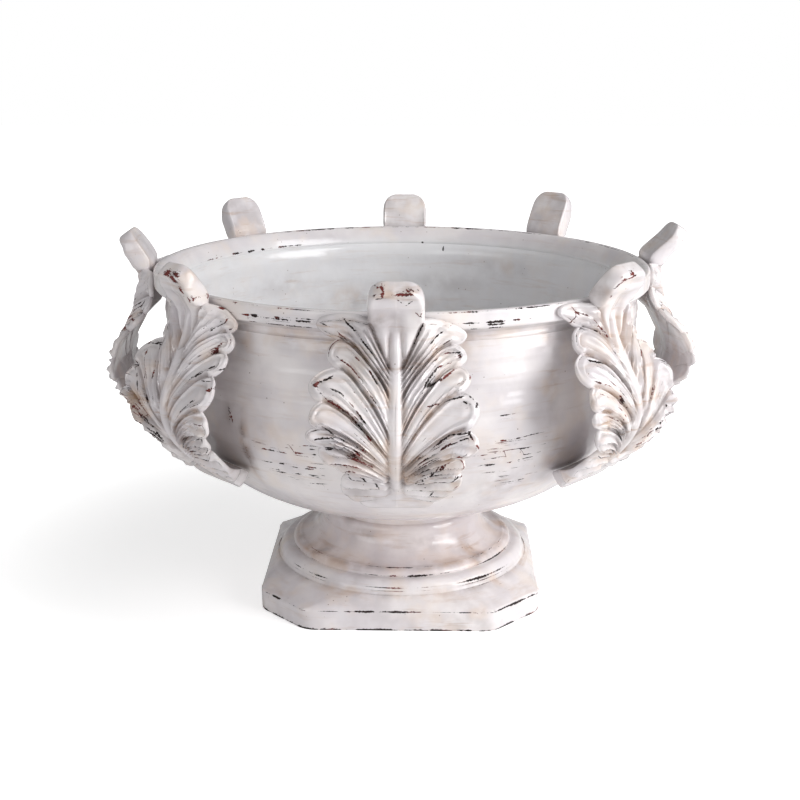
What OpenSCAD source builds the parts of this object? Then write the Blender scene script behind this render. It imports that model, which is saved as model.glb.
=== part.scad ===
// Footed garden urn in glazed earthenware.
// A thrown bowl stands on a thrown foot and a pressed square plinth with cut corners.
// Eight pressed acanthus leaves hang from the rim, swing out past the wall and come
// back to the belly on a plain tongue, so that a hand fits behind each one.
// The origin is the centre of the plinth's underside, +Z is up and -Y is the front.
// Lengths are in millimetres and angles in degrees.

/* [Plinth] */
// Width of the square plinth across its flats
plinth_w = 230; // [205:1:270]
// Length cut off each side at a corner
corner_cut = 40; // [24:1:56]
// Height of the upright edge
edge_h = 17.5; // [12:0.5:28]
// Rise of the sloping top, from the upright edge to the round crease
slope_h = 9.5; // [5:0.5:16]
// Distance from a flat side in to the round crease
crease_inset = 7; // [4:0.5:12]
// Width of the rounded shoulder of the raised ring
ring_w = 8; // [5:0.5:12]
// Height of the raised ring above the crease
ring_h = 10; // [6:0.5:16]
// Thickness of the plinth's clay
plinth_wall = 14; // [9:0.5:17]

/* [Foot] */
// Height of the foot, from the plinth's ring to the bowl
foot_h = 49; // [40:1:90]
// Distance from the raised ring's shoulder in to the foot's edge
foot_inset = 4; // [2:0.5:10]
// Height of the bead round the foot's edge
bead_h = 5.5; // [3:0.5:8]
// Width of that bead
bead_w = 6.5; // [4:0.5:10]
// Height of the hollow sweep above the bead
cove_h = 22; // [14:0.5:26]
// Radius of the neck below the bowl
neck_r = 64; // [54:1:72]
// How far the soft collar stands out of the neck
collar_out = 4; // [2:0.5:7]
// Height of that collar
collar_h = 6; // [4:0.5:8]
// Thickness of the foot's clay
foot_wall = 10; // [7:0.5:14]

/* [Bowl] */
// Outer radius of the upright wall
wall_r = 193; // [175:1:215]
// Height of the round belly, from the neck to the upright wall
belly_h = 104; // [85:1:130]
// Height of the upright wall and rim
wall_h = 88; // [75:1:115]
// Thickness of the bowl's wall
bowl_wall = 10; // [7:0.5:12]
// Thickness of the bowl's floor
floor_t = 12; // [8:0.5:18]
// Spacing of the throwing ridges
ridge_pitch = 19.5; // [14:0.5:26]
// Height of a throwing ridge
ridge_h = 0.8; // [0.3:0.1:1.6]

/* [Rim] */
// How far the rim band stands out of the wall
rim_out = 9; // [6:0.5:12]
// Height of the rim band
rim_h = 13.5; // [11:0.5:20]
// Width of the rim, from its outer face to its inner lip
lip_w = 15; // [12:0.5:17]
// How far the inner lip lies below the crest
lip_drop = 12; // [8:0.5:14]
// Radius of the rim band's edges
rim_round = 2.5; // [1.5:0.25:4]
// Depth of the groove under the band
groove_d = 1.8; // [1:0.1:3]
// Height of that groove
groove_h = 6; // [4:0.5:9]

/* [Leaves] */
// Width of a leaf across its widest lobes
leaf_w = 122; // [100:1:128]
// How far a leaf's face swings out past the rim band
leaf_out = 41; // [30:0.5:52]
// Thickness of a leaf at its midrib
leaf_t = 10.5; // [8:0.5:13]
// Thickness of the tongue where it ends on the belly
tongue_t = 14; // [10:0.5:18]
// Thickness of a leaf at its edge
leaf_edge_t = 6; // [4:0.5:8]
// Depth of the notches between the lobes
notch_d = 9; // [5:0.5:12]
// Height of the relief from groove to ridge
relief_h = 3.5; // [1:0.25:5]
// Width of the tab above the rim
tab_w = 38.5; // [32:0.5:48]
// Height of the tab above the rim's crest
tab_h = 28; // [20:1:40]
// How far the tab's top leans out
tab_lean = 16; // [8:0.5:22]
// Thickness of the tab
tab_t = 13; // [9:0.5:16]
// Width of the plain tongue at the foot of a leaf
tongue_w = 49; // [38:1:56]
// Radius at which the tongue ends, under the belly
tongue_end_r = 178; // [168:1:183]
// Gap between a leaf and what it is seated on
seat_gap = 0.3; // [0.2:0.05:0.6]

/* [Hidden] */
$fn = 96;

// Heights of the stack
crease_z = edge_h + slope_h;
plinth_h = crease_z + ring_h;
bowl_z = plinth_h + foot_h;
wall_z = bowl_z + belly_h;
rim_z = wall_z + wall_h;

// Plinth
crease_r = plinth_w / 2 - crease_inset;
crease_groove = 1.5;
ring_top_r = crease_r - crease_groove - ring_w;
cavity_h = crease_z - plinth_wall;
skin = 0.1;
arc_step = 15;

// Foot
foot_base_r = ring_top_r - foot_inset;
cove_r = foot_base_r - bead_w;
cove_z = bead_h + cove_h;
cove_w = cove_r - neck_r - collar_out;
well_turn = asin(cove_z / (cove_h + foot_wall));
well_r = cove_r - (cove_w + foot_wall) * cos(well_turn);

// Bowl
rim_r = wall_r + rim_out;
band_z = rim_z - rim_h;
ridge_from = wall_z - belly_h / 2;
ridge_to = band_z - groove_h;
ridge_parts = 6;
inner_r = wall_r - bowl_wall;
floor_r = neck_r - bowl_wall;
lip_nose = 2;
lip_run = 6;

// Leaf face: height, distance from the urn's axis and slope at each point that it passes,
// from the tongue's end by its lift and the bulge to the tab's foot and the tab's top
tongue_turn = 42;
tongue_z = belly_z(tongue_end_r) - tongue_t * sin(tongue_turn);
tongue_r = tongue_end_r + tongue_t * cos(tongue_turn);
tongue_slope = 1.12;
lift_share = 0.11;
lift_out = 0.36;
lift_slope = 1.25;
bulge_share = 0.46;
bulge_r = rim_r + leaf_out;
tab_foot_r = rim_r + seat_gap + tab_t;
tab_foot_z = rim_z - rim_h * 0.9;
tab_foot_slope = -0.1;
tab_top_z = rim_z + tab_h - tab_t / 2;
tab_top_slope = 0.7;
leaf_span = rim_z - tongue_z;
face_keys = [
    [tongue_z, tongue_r, tongue_slope],
    [tongue_z + leaf_span * lift_share, mix(tongue_r, bulge_r, lift_out), lift_slope],
    [tongue_z + leaf_span * bulge_share, bulge_r, 0],
    [tab_foot_z, tab_foot_r, tab_foot_slope],
    [tab_top_z, tab_foot_r + tab_lean, tab_top_slope]];

// Lobes from the lowest to the shoulder: reach as a share of the half width, height as a
// share of the height from the tongue's end to the rim. A pressed leaf isn't quite even.
lobes_left = [[0.62, 0.16], [0.83, 0.37], [1.0, 0.475], [0.97, 0.57], [0.98, 0.71],
    [0.77, 0.815], [0.88, 0.95]];
lobes_right = [[0.73, 0.20], [0.77, 0.32], [0.91, 0.42], [0.91, 0.62], [0.82, 0.73],
    [0.78, 0.81], [0.75, 0.91]];
lobe_turns = [0, 48, 92, 136];

// The edge is rounded: its middle stands out past the front and the back face
edge_bulge = leaf_edge_t * 0.3;
half_w = leaf_w / 2 - edge_bulge;
tongue_half_w = tongue_w / 2 - edge_bulge;
tab_half_w = tab_w / 2 - edge_bulge;

// Points across half a leaf, as shares from the midrib to the edge
across = [0, 0.28, 0.62, 1];
last = len(across) - 1;

// The veins leave the lower part of the midrib steeply and bend out to the lobes
base_share = 0.16;
base_z = tongue_z + base_share * leaf_span;
vein_share = 0.78;
vein_out = 1.15;
vein_up = 1.5;
relief_from = 1.6;
edge_power = 4;
edge_turn = leaf_edge_t * 0.25;
edge_thin = 0.12;
tongue_clear = 1.5;

// What the hand that bent and stuck on each leaf left different, going round from the
// front: turn off its eighth, shares of the width at lobes, shoulders and tab, reach of
// the bulge, lean and height of the tab
leaf_drift = [0.2, 0.8, 7.3, 6.1, 0.5, -0.2, 1.3, 0.8];
leaf_spread = [1, 0.87, 0.95, 0.95, 0.96, 0.94, 0.92, 0.91];
shoulder_spread = [1, 0.72, 0.9, 0.95, 0.96, 0.94, 0.92, 0.82];
tab_spread = [1, 1, 1, 1, 1.1, 1, 1, 1];
leaf_swing = [0, 0, -4, 0, -2, 1, -5, -1];
tab_out = [0, 1, 9, 3, 0, 1, 0, 0];
tab_lift = [-5, -2, 0, 8, 0, 4, -1, -3];

glaze_color = [0.87, 0.85, 0.86];
leaf_color = [0.84, 0.81, 0.81];

function mix(a, b, t) = a + (b - a) * t;
function ease(t) = let(c = min(1, max(0, t))) c * c * (3 - 2 * c);
function rise(x, from, to) = ease((x - from) / (to - from));

// Points of an elliptic arc round a centre, from one turn to another
function arc(centre, rx, ry, from, to) =
    let(n = max(1, ceil(abs(to - from) / arc_step)))
    [for (i = [0 : n]) let(t = mix(from, to, i / n)) centre + [rx * cos(t), ry * sin(t)]];

// Height of the belly's outer face at a radius, and its radius at a height
function belly_z(r) = wall_z - belly_h * sqrt(max(0, 1 - pow((r - neck_r) / (wall_r - neck_r), 2)));
function belly_r(z) = neck_r + (wall_r - neck_r) * sqrt(max(0, 1 - pow((wall_z - z) / belly_h, 2)));

// Ridges left by the thrower's fingers, fading out where they start and end
function ridge(z) = ridge_h * (1 - cos(360 * (ridge_to - z) / ridge_pitch)) / 2
    * rise(z, ridge_from, ridge_from + ridge_pitch);
function body_r(z) = (z < wall_z ? belly_r(z) : wall_r) + ridge(z);

// Radius that a leaf's back has to clear at a height
function clear_r(z) =
    z > rim_z + rim_round ? 0 :
    z > band_z - rim_round ? rim_r + seat_gap :
    z > wall_z ? wall_r + ridge_h + seat_gap :
    z > bowl_z ? belly_r(z) + ridge_h * rise(z, ridge_from, ridge_from + ridge_pitch)
        + seat_gap * tongue_clear : 0;

// Cubic through the leaf's face points
function face_part(z, i = 0) = i >= len(face_keys) - 2 || z < face_keys[i + 1][0] ? i : face_part(z, i + 1);
function face_r(z) =
    let(i = face_part(z), a = face_keys[i], b = face_keys[i + 1], h = b[0] - a[0], t = (z - a[0]) / h)
    a[1] * (2 * pow(t, 3) - 3 * pow(t, 2) + 1) + a[2] * h * (pow(t, 3) - 2 * pow(t, 2) + t)
    + b[1] * (3 * pow(t, 2) - 2 * pow(t, 3)) + b[2] * h * (pow(t, 3) - pow(t, 2));

// Outward normal of the face in the plane of radius and height
function face_normal(z) = let(s = (face_r(z + 0.5) - face_r(z - 0.5)), l = sqrt(1 + s * s)) [1 / l, -s / l];

// The shoulders bend back until they lie on the rim band
shoulder_z = rim_z - rim_h * 4;
shoulder_from = tab_w * 0.42;
shoulder_to = tab_w * 0.8;
function shoulder(u, z) = rise(z, shoulder_z, band_z) * rise(abs(u), shoulder_from, shoulder_to);
function seat_r(u) = sqrt(pow(rim_r + seat_gap, 2) - u * u);
function front_r(u, z) =
    mix(face_r(z), seat_r(u) + leaf_edge_t, shoulder(u, z) * rise(rim_z + rim_h - z, 0, rim_h));

function lobe_tip(lobes, k) = [lobes[k][0] * half_w, tongue_z + lobes[k][1] * leaf_span];
tongue_flare = 3;
tongue_notch = [tongue_half_w + tongue_flare, tongue_z + leaf_span * 0.06];
tab_notch = [tab_half_w, rim_z - rim_h * 0.4];
function notch(lobes, k) =
    k == 0 ? tongue_notch :
    k == len(lobes) ? tab_notch :
    let(a = lobe_tip(lobes, k - 1), b = lobe_tip(lobes, k)) [min(a[0], b[0]) - notch_d, (a[1] + b[1]) / 2];

// A lobe is half an ellipse from the notch below it, round its tip, to the notch above
function lobe_edge(lobes, k, turn) =
    let(a = notch(lobes, k), b = notch(lobes, k + 1), c = (a + b) / 2)
    c - (b - a) / 2 * cos(turn) + (lobe_tip(lobes, k) - c) * sin(turn);

// A row crosses half a leaf: height at the midrib, edge point, and how far it is a ridge
even = 0.5;
function lobe_rows(lobes) = [for (k = [0 : len(lobes) - 1], turn = lobe_turns)
    let(e = lobe_edge(lobes, k, turn), n = k + turn / 180)
    [mix(base_z, band_z, vein_share * n / len(lobes)), e[0], e[1], sin(turn)]];
tongue_step = 5;
tongue_rows = [for (z = [tongue_z, tongue_z + tongue_step]) [z, tongue_half_w, z, even]];

// The tab rises from the rim and ends in an arch with a flat top
arch_turns = [0, 30, 55, 75, 88];
arch_h = tab_half_w * 0.68;
arch_flat = 0.8;
tab_base_z = rim_z - rim_h * 0.7;
tab_edge_z = rim_z - rim_round;
edge_step = 1;
tab_side_rows = [for (step = [0, 1])
    let(z = mix(tab_base_z, tab_top_z - arch_h, step / 2))
    [z, tab_half_w, max(z, tab_edge_z + edge_step * (1 + step)), even]];
tab_top_rows = [for (turn = arch_turns)
    let(z = tab_top_z - arch_h + arch_h * sin(turn)) [z, tab_half_w * cos(turn * arch_flat), z, even]];
function leaf_rows(lobes) = concat(tongue_rows, lobe_rows(lobes), tab_side_rows, tab_top_rows);
rows_left = leaf_rows(lobes_left);
rows_right = leaf_rows(lobes_right);
row_count = len(rows_left);

// Share of the pattern's width that a leaf has at a height
function spread(n, z) =
    let(lobed = mix(1, leaf_spread[n], rise(z, tongue_z, base_z + rim_h)))
    mix(mix(lobed, shoulder_spread[n], rise(z, shoulder_z, band_z)), tab_spread[n], rise(z, band_z, rim_z));

// A point on a row, as distance from the midrib and height
function vein(n, row, t) =
    [row[1] * spread(n, row[2]) * pow(t, vein_out), mix(row[0], row[2], 1 - pow(1 - t, vein_up))];

// The bulge and the tab of each leaf stand a little off the pattern
bulge_from = base_z - rim_h;
bulge_full = base_z + rim_h * 3;
function bent(n, p) =
    let(tab = rise(p[2], rim_z, tab_top_z),
        bulge = rise(p[2], bulge_from, bulge_full) * (1 - rise(p[2], shoulder_z, band_z)))
    p + [0, -tab_out[n] * tab - leaf_swing[n] * bulge, tab_lift[n] * tab];

// Where a row lies between the midrib and the edge, on the front and on the back
function front_point(n, row, side, t) =
    let(p = vein(n, row, t), out = face_normal(p[1]),
        d = relief_h * (row[3] - even) * ease(t * relief_from) - edge_turn * pow(t, edge_power))
    bent(n, [side * p[0], -front_r(p[0], p[1]) - d * out[0], p[1] + d * out[1]]);
function thickness(p, t) =
    let(body = mix(leaf_t, leaf_edge_t, ease(t)) * (1 - edge_thin * pow(t, edge_power)),
        leaf = mix(tongue_t, body, rise(p[1], tongue_z, base_z)))
    mix(leaf, tab_t, rise(p[1], band_z, rim_z));
function back_point(n, row, side, t) =
    let(p = vein(n, row, t), out = face_normal(p[1]), thick = thickness(p, t),
        q = bent(n, [side * p[0], -front_r(p[0], p[1]) + thick * out[0], p[1] - thick * out[1]]),
        clear = clear_r(q[2]))
    [q[0], -max(-q[1], sqrt(max(0, clear * clear - q[0] * q[0]))), q[2]];
function rim_point(n, row, side) =
    let(a = front_point(n, row, side, 1), b = back_point(n, row, side, 1))
    (a + b) / 2 + [side * edge_bulge, 0, 0];

// One closed ring of points round the leaf for each row
function leaf_ring(n, i) = concat(
    [for (k = [last : -1 : 0]) front_point(n, rows_left[i], -1, across[k])],
    [for (k = [1 : last]) front_point(n, rows_right[i], 1, across[k])],
    [rim_point(n, rows_right[i], 1)],
    [for (k = [last : -1 : 1]) back_point(n, rows_right[i], 1, across[k])],
    [for (k = [0 : last]) back_point(n, rows_left[i], -1, across[k])],
    [rim_point(n, rows_left[i], -1)]);
ring_n = 4 * last + 4;
function side_faces(i, j) =
    let(a = i * ring_n + j, b = i * ring_n + (j + 1) % ring_n, c = b + ring_n, d = a + ring_n)
    [[a, d, b], [b, d, c]];
// An end is closed by a strip between its front and back points
function end_strip(first, flip) =
    let(front_n = 2 * last, back = first + ring_n - 2,
        strip = [for (j = [0 : front_n - 1]) let(a = first + j, d = back - j)
            each [[a, a + 1, d - 1], [a, d - 1, d]]],
        tips = [[back + 1, first, back], [first + front_n, first + front_n + 1, first + front_n + 2]])
    [for (f = concat(strip, tips)) flip ? [f[2], f[1], f[0]] : f];
leaf_faces = concat(
    [for (i = [0 : row_count - 2], j = [0 : ring_n - 1]) each side_faces(i, j)],
    end_strip(0, false), end_strip((row_count - 1) * ring_n, true));

module cut_square(w, cut) {
    h = w / 2;
    k = h - cut;
    polygon([[-h, -k], [-k, -h], [k, -h], [h, -k], [h, k], [k, h], [-k, h], [-h, k]]);
}

module plinth() {
    inner_w = plinth_w - 2 * plinth_wall;
    inner_cut = corner_cut - plinth_wall * (2 - sqrt(2));
    color(glaze_color)
    difference() {
        union() {
            hull() {
                linear_extrude(edge_h) cut_square(plinth_w, corner_cut);
                translate([0, 0, crease_z - skin]) cylinder(h = skin, r = crease_r);
            }
            rotate_extrude() polygon(concat([[0, crease_z - ring_h / 2]],
                [[ring_top_r + ring_w, crease_z - ring_h / 2]],
                arc([ring_top_r, crease_z], ring_w, ring_h, 0, 90),
                [[0, plinth_h]]));
        }
        translate([0, 0, -1]) linear_extrude(cavity_h + 1) cut_square(inner_w, inner_cut);
        cylinder(h = plinth_h + 1, r = well_r);
    }
}

module foot() {
    collar_z = cove_z + collar_h;
    color(glaze_color)
    translate([0, 0, plinth_h])
    rotate_extrude() polygon(concat(
        arc([cove_r, 0], bead_w, bead_h, 0, 90),
        arc([cove_r, cove_z], cove_w, cove_h, 270, 180),
        arc([neck_r, cove_z], collar_out, collar_h, 0, 90),
        [[neck_r, collar_z], [neck_r, foot_h], [neck_r - foot_wall, foot_h]],
        arc([cove_r, cove_z], cove_w + foot_wall, cove_h + foot_wall, 180, 180 + well_turn)));
}

module bowl() {
    ridge_n = ceil((ridge_to - wall_z) / ridge_pitch * ridge_parts);
    crest_r = rim_r - rim_round;
    lip_r = rim_r - lip_w;
    lip_z = rim_z - lip_drop;
    color(glaze_color)
    rotate_extrude() polygon(concat(
        [[0, bowl_z], [neck_r, bowl_z]],
        [for (t = [6 : 6 : 84]) let(z = wall_z - belly_h * cos(t)) [body_r(z), z]],
        [for (i = [0 : ridge_n - 1]) let(z = mix(wall_z, ridge_to, i / ridge_n)) [body_r(z), z]],
        arc([wall_r, ridge_to + groove_h / 2], groove_d, groove_h / 2, 270, 90),
        arc([crest_r, band_z + rim_round], rim_round, rim_round, 270, 360),
        arc([crest_r, rim_z - rim_round], rim_round, rim_round, 0, 90),
        [[crest_r - rim_round, rim_z - skin]],
        arc([lip_r + lip_nose, lip_z - lip_nose], lip_nose, lip_nose, 135, 225),
        [[inner_r, lip_z - lip_run], [inner_r, wall_z]],
        arc([floor_r, wall_z], inner_r - floor_r, belly_h - floor_t, 0, -90),
        [[0, bowl_z + floor_t]]));
}

module leaf(n) {
    points = [for (i = [0 : row_count - 1]) each leaf_ring(n, i)];
    color(leaf_color)
    rotate(n * 360 / len(leaf_drift) + leaf_drift[n])
    polyhedron(points = points, faces = leaf_faces, convexity = 8);
}

plinth();
foot();
bowl();
leaf(0);  // leaf_front
leaf(1);  // leaf_front_right
leaf(2);  // leaf_right
leaf(3);  // leaf_back_right
leaf(4);  // leaf_back
leaf(5);  // leaf_back_left
leaf(6);  // leaf_left
leaf(7);  // leaf_front_left
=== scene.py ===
import bpy
import math
import numpy as np
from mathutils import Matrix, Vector


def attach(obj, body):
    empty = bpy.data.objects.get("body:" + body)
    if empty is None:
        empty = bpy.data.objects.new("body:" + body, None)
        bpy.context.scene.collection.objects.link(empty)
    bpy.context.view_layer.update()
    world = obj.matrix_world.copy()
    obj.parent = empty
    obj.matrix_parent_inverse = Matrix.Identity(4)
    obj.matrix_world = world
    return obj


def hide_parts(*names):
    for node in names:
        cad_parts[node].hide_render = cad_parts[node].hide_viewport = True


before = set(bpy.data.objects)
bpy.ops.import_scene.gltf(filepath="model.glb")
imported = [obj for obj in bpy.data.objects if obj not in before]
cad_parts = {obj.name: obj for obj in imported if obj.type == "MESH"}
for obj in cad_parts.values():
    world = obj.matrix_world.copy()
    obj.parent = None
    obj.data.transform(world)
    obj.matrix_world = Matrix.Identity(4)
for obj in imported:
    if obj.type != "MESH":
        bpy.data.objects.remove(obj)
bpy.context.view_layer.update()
print("packed urn loaded:", len(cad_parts), "nodes")


# small helpers

def clearSelection():
    if bpy.context.object and bpy.context.object.mode != "OBJECT":
        bpy.ops.object.mode_set(mode="OBJECT")
    bpy.ops.object.select_all(action="DESELECT")


def makeActive(piece):
    clearSelection()
    piece.select_set(True)
    bpy.context.view_layer.objects.active = piece


def ease(value):
    held = np.clip(value, 0.0, 1.0)
    return held * held * (3 - 2 * held)


def rise(value, low, high):
    return ease((value - low) / (high - low))


def mix(a, b, share):
    return a + (b - a) * share


def meshPoints(piece):
    points = np.empty(len(piece.data.vertices) * 3)
    piece.data.vertices.foreach_get("co", points)
    return points.reshape(-1, 3) * 1000  # mm


def addField(piece, name, values):  # one number for each point, read by the glaze
    field = piece.data.attributes.new(name, "FLOAT", "POINT")
    field.data.foreach_set("value", np.asarray(values, dtype=np.float32))


def softNoise(points, size, seed):  # smooth value noise from -1 to 1, size in mm
    cells = points / size + seed * 17.31
    base = np.floor(cells)
    part = ease(cells - base)
    total = np.zeros(len(points))
    for corner in range(8):
        step = np.array([corner & 1, corner >> 1 & 1, corner >> 2 & 1])
        spot = base + step
        wave = np.sin(spot @ np.array([127.1, 311.7, 74.7]) + seed * 9.7) * 43758.5453  # a plain hash
        weight = np.prod(np.where(step == 1, part, 1 - part), axis=1)
        total += weight * (2 * (wave - np.floor(wave)) - 1)
    return total


def standFor(piece, node):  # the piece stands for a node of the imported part
    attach(piece, "root")
    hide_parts(node)


# glaze

def linearColour(code):  # sRGB hex to linear
    parts = [int(code[i:i + 2], 16) / 255 for i in (1, 3, 5)]
    return [p / 12.92 if p <= 0.04045 else ((p + 0.055) / 1.055) ** 2.4 for p in parts] + [1.0]


def addNode(tree, kind, settings=None, inputs=None, output=0):  # an input is a link, a hex colour or a value
    node = tree.nodes.new("ShaderNode" + kind)
    for name, value in (settings or {}).items():
        setattr(node, name, value)
    for name, value in (inputs or {}).items():
        if isinstance(value, bpy.types.NodeSocket):
            tree.links.new(value, node.inputs[name])
        else:
            node.inputs[name].default_value = linearColour(value) if isinstance(value, str) else value
    return node.outputs[output] if len(node.outputs) else None


# Tin-white glaze brushed over red earthenware, rubbed through to the clay on ridges and
# edges, with a thin brown wash left in the hollows; its colours also paint shade on the bowl.
# Glossy, slightly uneven, with pinholes.
glazeLook = {
    "white": "#E8E3E3",
    "cool": "#DAD5D8",
    "cream": "#EADFD6",
    "blueWhite": "#E2E3E5",  # where the glaze pooled thick, inside the bowl
    "tan": "#B89C86",
    "brown": "#71594B",
    "greyWash": "#9C9291",
    "clayDark": "#211413",
    "clayRed": "#6B2B27",
    "glassIor": 1.52,
    "gloss": 0.13,
    "clayRoughness": 0.85,
    "creamShare": 0.45,
    "washShare": 0.74,
    "pinholeShare": 0.75,
    # sizes in mm
    "cloudSize": 45.0,  # drifts from cool to cream
    "streakLong": 26.0,  # a broken stroke's length
    "streakHigh": 1.25,  # a hair's width of it
    "brushLong": 41.6,  # a brush stroke's length
    "brushHigh": 4.5,  # and its width
    "patchSize": 14.0,  # where the wash pools
    "raggedSize": 1.5,  # bites in the chips' edges
    "dashSize": 6.5,  # runs and gaps of a rubbed line
    "dashFrom": 0.43,  # lower makes the runs longer
    "lineWidth": 0.92,  # half width of a well rubbed line
    "pinholeSize": 7.0,  # between pinholes
    "rippleSize": 16.0,  # slow ripples in the glaze
    "dimpleSize": 4.0,
    "bumpStrength": 0.7,
    "bumpHigh": 0.0008,  # m
}
# numbers on each mesh: distances from worn lines in mm and the wear there, then the rest
glazeFields = ["rimLine", "rimWear", "coreLine", "coreWear", "edgeLine", "edgeWear", "markLine",
               "markWear", "chip", "streak", "washAndShade", "cool"]


def makeGlaze(name, tint=None, **changes):
    look = {**glazeLook, **changes}
    material = bpy.data.materials.new(name)
    material.use_nodes = True
    tree = material.node_tree
    tree.nodes.clear()
    times, plus, minus = {"operation": "MULTIPLY"}, {"operation": "ADD"}, {"operation": "SUBTRACT"}
    timesPlus = {"operation": "MULTIPLY_ADD"}
    smooth = {"interpolation_type": "SMOOTHSTEP"}
    ofColours = {"data_type": "RGBA"}  # its colours go in at 6 and 7 and come out at 2

    # what the coats are read from: numbers on the mesh, pinholes and noises
    place = addNode(tree, "TexCoord", output="Object")
    read = {key: addNode(tree, "Attribute", {"attribute_name": key}, output="Fac") for key in glazeFields}
    read["specks"] = addNode(tree, "TexVoronoi", output="Distance", inputs={
        "Vector": place, "Scale": 1000 / look["pinholeSize"]})
    noises = {  # length and height in mm, detail, roughness, shift
        "clouds": (look["cloudSize"], look["cloudSize"], 3.0, 0.5, 0.0),
        "drifts": (look["cloudSize"] * 0.55, look["cloudSize"] * 0.55, 3.0, 0.5, 4.3),
        "ragged": (look["raggedSize"], look["raggedSize"], 3.0, 0.65, 0.0),
        "dashes": (look["dashSize"], look["dashSize"], 2.0, 0.5, 2.1),
        "streaks": (look["streakLong"], look["streakHigh"], 3.0, 0.6, 1.7),
        "brush": (look["brushLong"], look["brushHigh"], 4.0, 0.6, 6.2),
        "patches": (look["patchSize"], look["patchSize"], 3.0, 0.5, 8.8),
        "ripples": (look["rippleSize"], look["rippleSize"], 2.0, 0.5, 3.3),
        "dimples": (look["dimpleSize"], look["dimpleSize"], 2.0, 0.5, 5.1),
    }
    for key, (long, high, detail, roughness, shift) in noises.items():
        where = addNode(tree, "Mapping", inputs={"Vector": place, "Location": [shift] * 3,
                                                 "Scale": [1000 / long, 1000 / long, 1000 / high]})
        read[key] = addNode(tree, "TexNoise", inputs={"Vector": where, "Scale": 1.0, "Detail": detail,
                                                      "Roughness": roughness}, output="Fac")

    # how each coat comes in: what is read, where it begins and where it is full
    comesIn = {
        "white": ("clouds", 0.38, 0.66), "cream": ("drifts", 0.5, 0.72), "thin": ("brush", 0.54, 0.72),
        "pooled": ("patches", 0.22, 0.66), "tan": ("drifts", 0.42, 0.6), "deep": ("washAndShade", 0.75, 1.4),
        "bitten": ("ragged", 0.4, 0.65), "pinhole": ("specks", 0.075, 0.055),
        "pitted": ("patches", 0.5, 0.56), "dashed": ("dashes", look["dashFrom"], look["dashFrom"] + 0.21),
    }
    coat = {key: addNode(tree, "MapRange", smooth, {"Value": read[source], "From Min": low, "From Max": high})
            for key, (source, low, high) in comesIn.items()}

    # rubbed lines: half width in mm against the distance from the line
    jagged = addNode(tree, "Math", timesPlus, {0: read["ragged"], 1: 2.2, 2: -1.22})
    width = addNode(tree, "Math", times, {0: coat["dashed"], 1: look["lineWidth"]})
    width = addNode(tree, "Math", plus, {0: width, 1: jagged})
    marks = []
    for line in ("rim", "core", "edge", "mark"):
        reach = addNode(tree, "Math", times, {0: read[line + "Wear"], 1: width})
        gap = addNode(tree, "Math", {"operation": "ABSOLUTE"}, {0: read[line + "Line"]})
        within = addNode(tree, "Math", minus, {0: reach, 1: gap})
        marks.append(addNode(tree, "MapRange", smooth, {"Value": within, "From Min": 0.0, "From Max": 0.16}))
    # larger chips with ragged edges
    bites = addNode(tree, "Math", timesPlus, {0: read["ragged"], 1: 1.1, 2: -0.55})
    chipped = addNode(tree, "Math", plus, {0: read["chip"], 1: bites})
    marks.append(addNode(tree, "MapRange", smooth, {"Value": chipped, "From Min": 0.47, "From Max": 0.53}))
    # broken strokes across the thrown faces
    eased = addNode(tree, "Math", times, {0: read["streak"], 1: 0.22})
    brokenAt = addNode(tree, "Math", minus, {0: 0.80, 1: eased})
    past = addNode(tree, "Math", minus, {0: read["streaks"], 1: brokenAt})
    marks.append(addNode(tree, "MapRange", smooth, {"Value": past, "From Min": 0.0, "From Max": 0.02}))
    bare = marks[0]
    for mark in marks[1:]:
        bare = addNode(tree, "Math", {"operation": "MAXIMUM"}, {0: bare, 1: mark})

    # the wash left in the hollows, whose colours also paint the shade behind and beside the leaves
    # and on the bowl's inner wall, and the clay under the glaze
    deep = addNode(tree, "Math", times, {0: coat["deep"], 1: coat["bitten"]})
    washed = addNode(tree, "Mix", ofColours, {"Factor": coat["tan"], 6: look["greyWash"], 7: look["tan"]}, 2)
    washed = addNode(tree, "Mix", ofColours, {"Factor": deep, 6: washed, 7: look["brown"]}, 2)
    fired = addNode(tree, "Math", times, {0: read["chip"], 1: 0.12})
    fired = addNode(tree, "Math", plus, {0: read["drifts"], 1: fired})
    redShare = addNode(tree, "MapRange", smooth, {"Value": fired, "From Min": 0.5, "From Max": 0.62})
    clay = addNode(tree, "Mix", ofColours, {"Factor": redShare, 6: look["clayDark"], 7: look["clayRed"]}, 2)

    # the coats, one over the other
    creamShare = addNode(tree, "Math", times, {0: coat["cream"], 1: look["creamShare"]})
    faint = addNode(tree, "Math", timesPlus, {0: read["washAndShade"], 1: 0.75, 2: 0.10})
    faint = addNode(tree, "Math", times, {0: coat["thin"], 1: faint})
    # the wash coat, which on the bowl also holds painted shade round the leaves and inside
    washAndShade = addNode(tree, "Math", {"operation": "MULTIPLY", "use_clamp": True},
                   {0: read["washAndShade"], 1: coat["pooled"]})
    washAndShade = addNode(tree, "Math", times, {0: washAndShade, 1: look["washShare"]})
    pinholes = addNode(tree, "Math", times, {0: coat["pinhole"], 1: coat["pitted"]})
    pinholes = addNode(tree, "Math", times, {0: pinholes, 1: look["pinholeShare"]})
    colour = look["cool"]
    for share, layer in ((coat["white"], look["white"]), (creamShare, look["cream"]),
                         (read["cool"], look["blueWhite"]), (faint, look["tan"]), (washAndShade, washed),
                         (pinholes, look["brown"]), (bare, clay)):
        colour = addNode(tree, "Mix", ofColours, {"Factor": share, 6: colour, 7: layer}, 2)
    if tint:
        colour = addNode(tree, "Mix", {"data_type": "RGBA", "blend_type": "MULTIPLY"},
                         {"Factor": 1.0, 6: colour, 7: tint}, 2)

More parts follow.
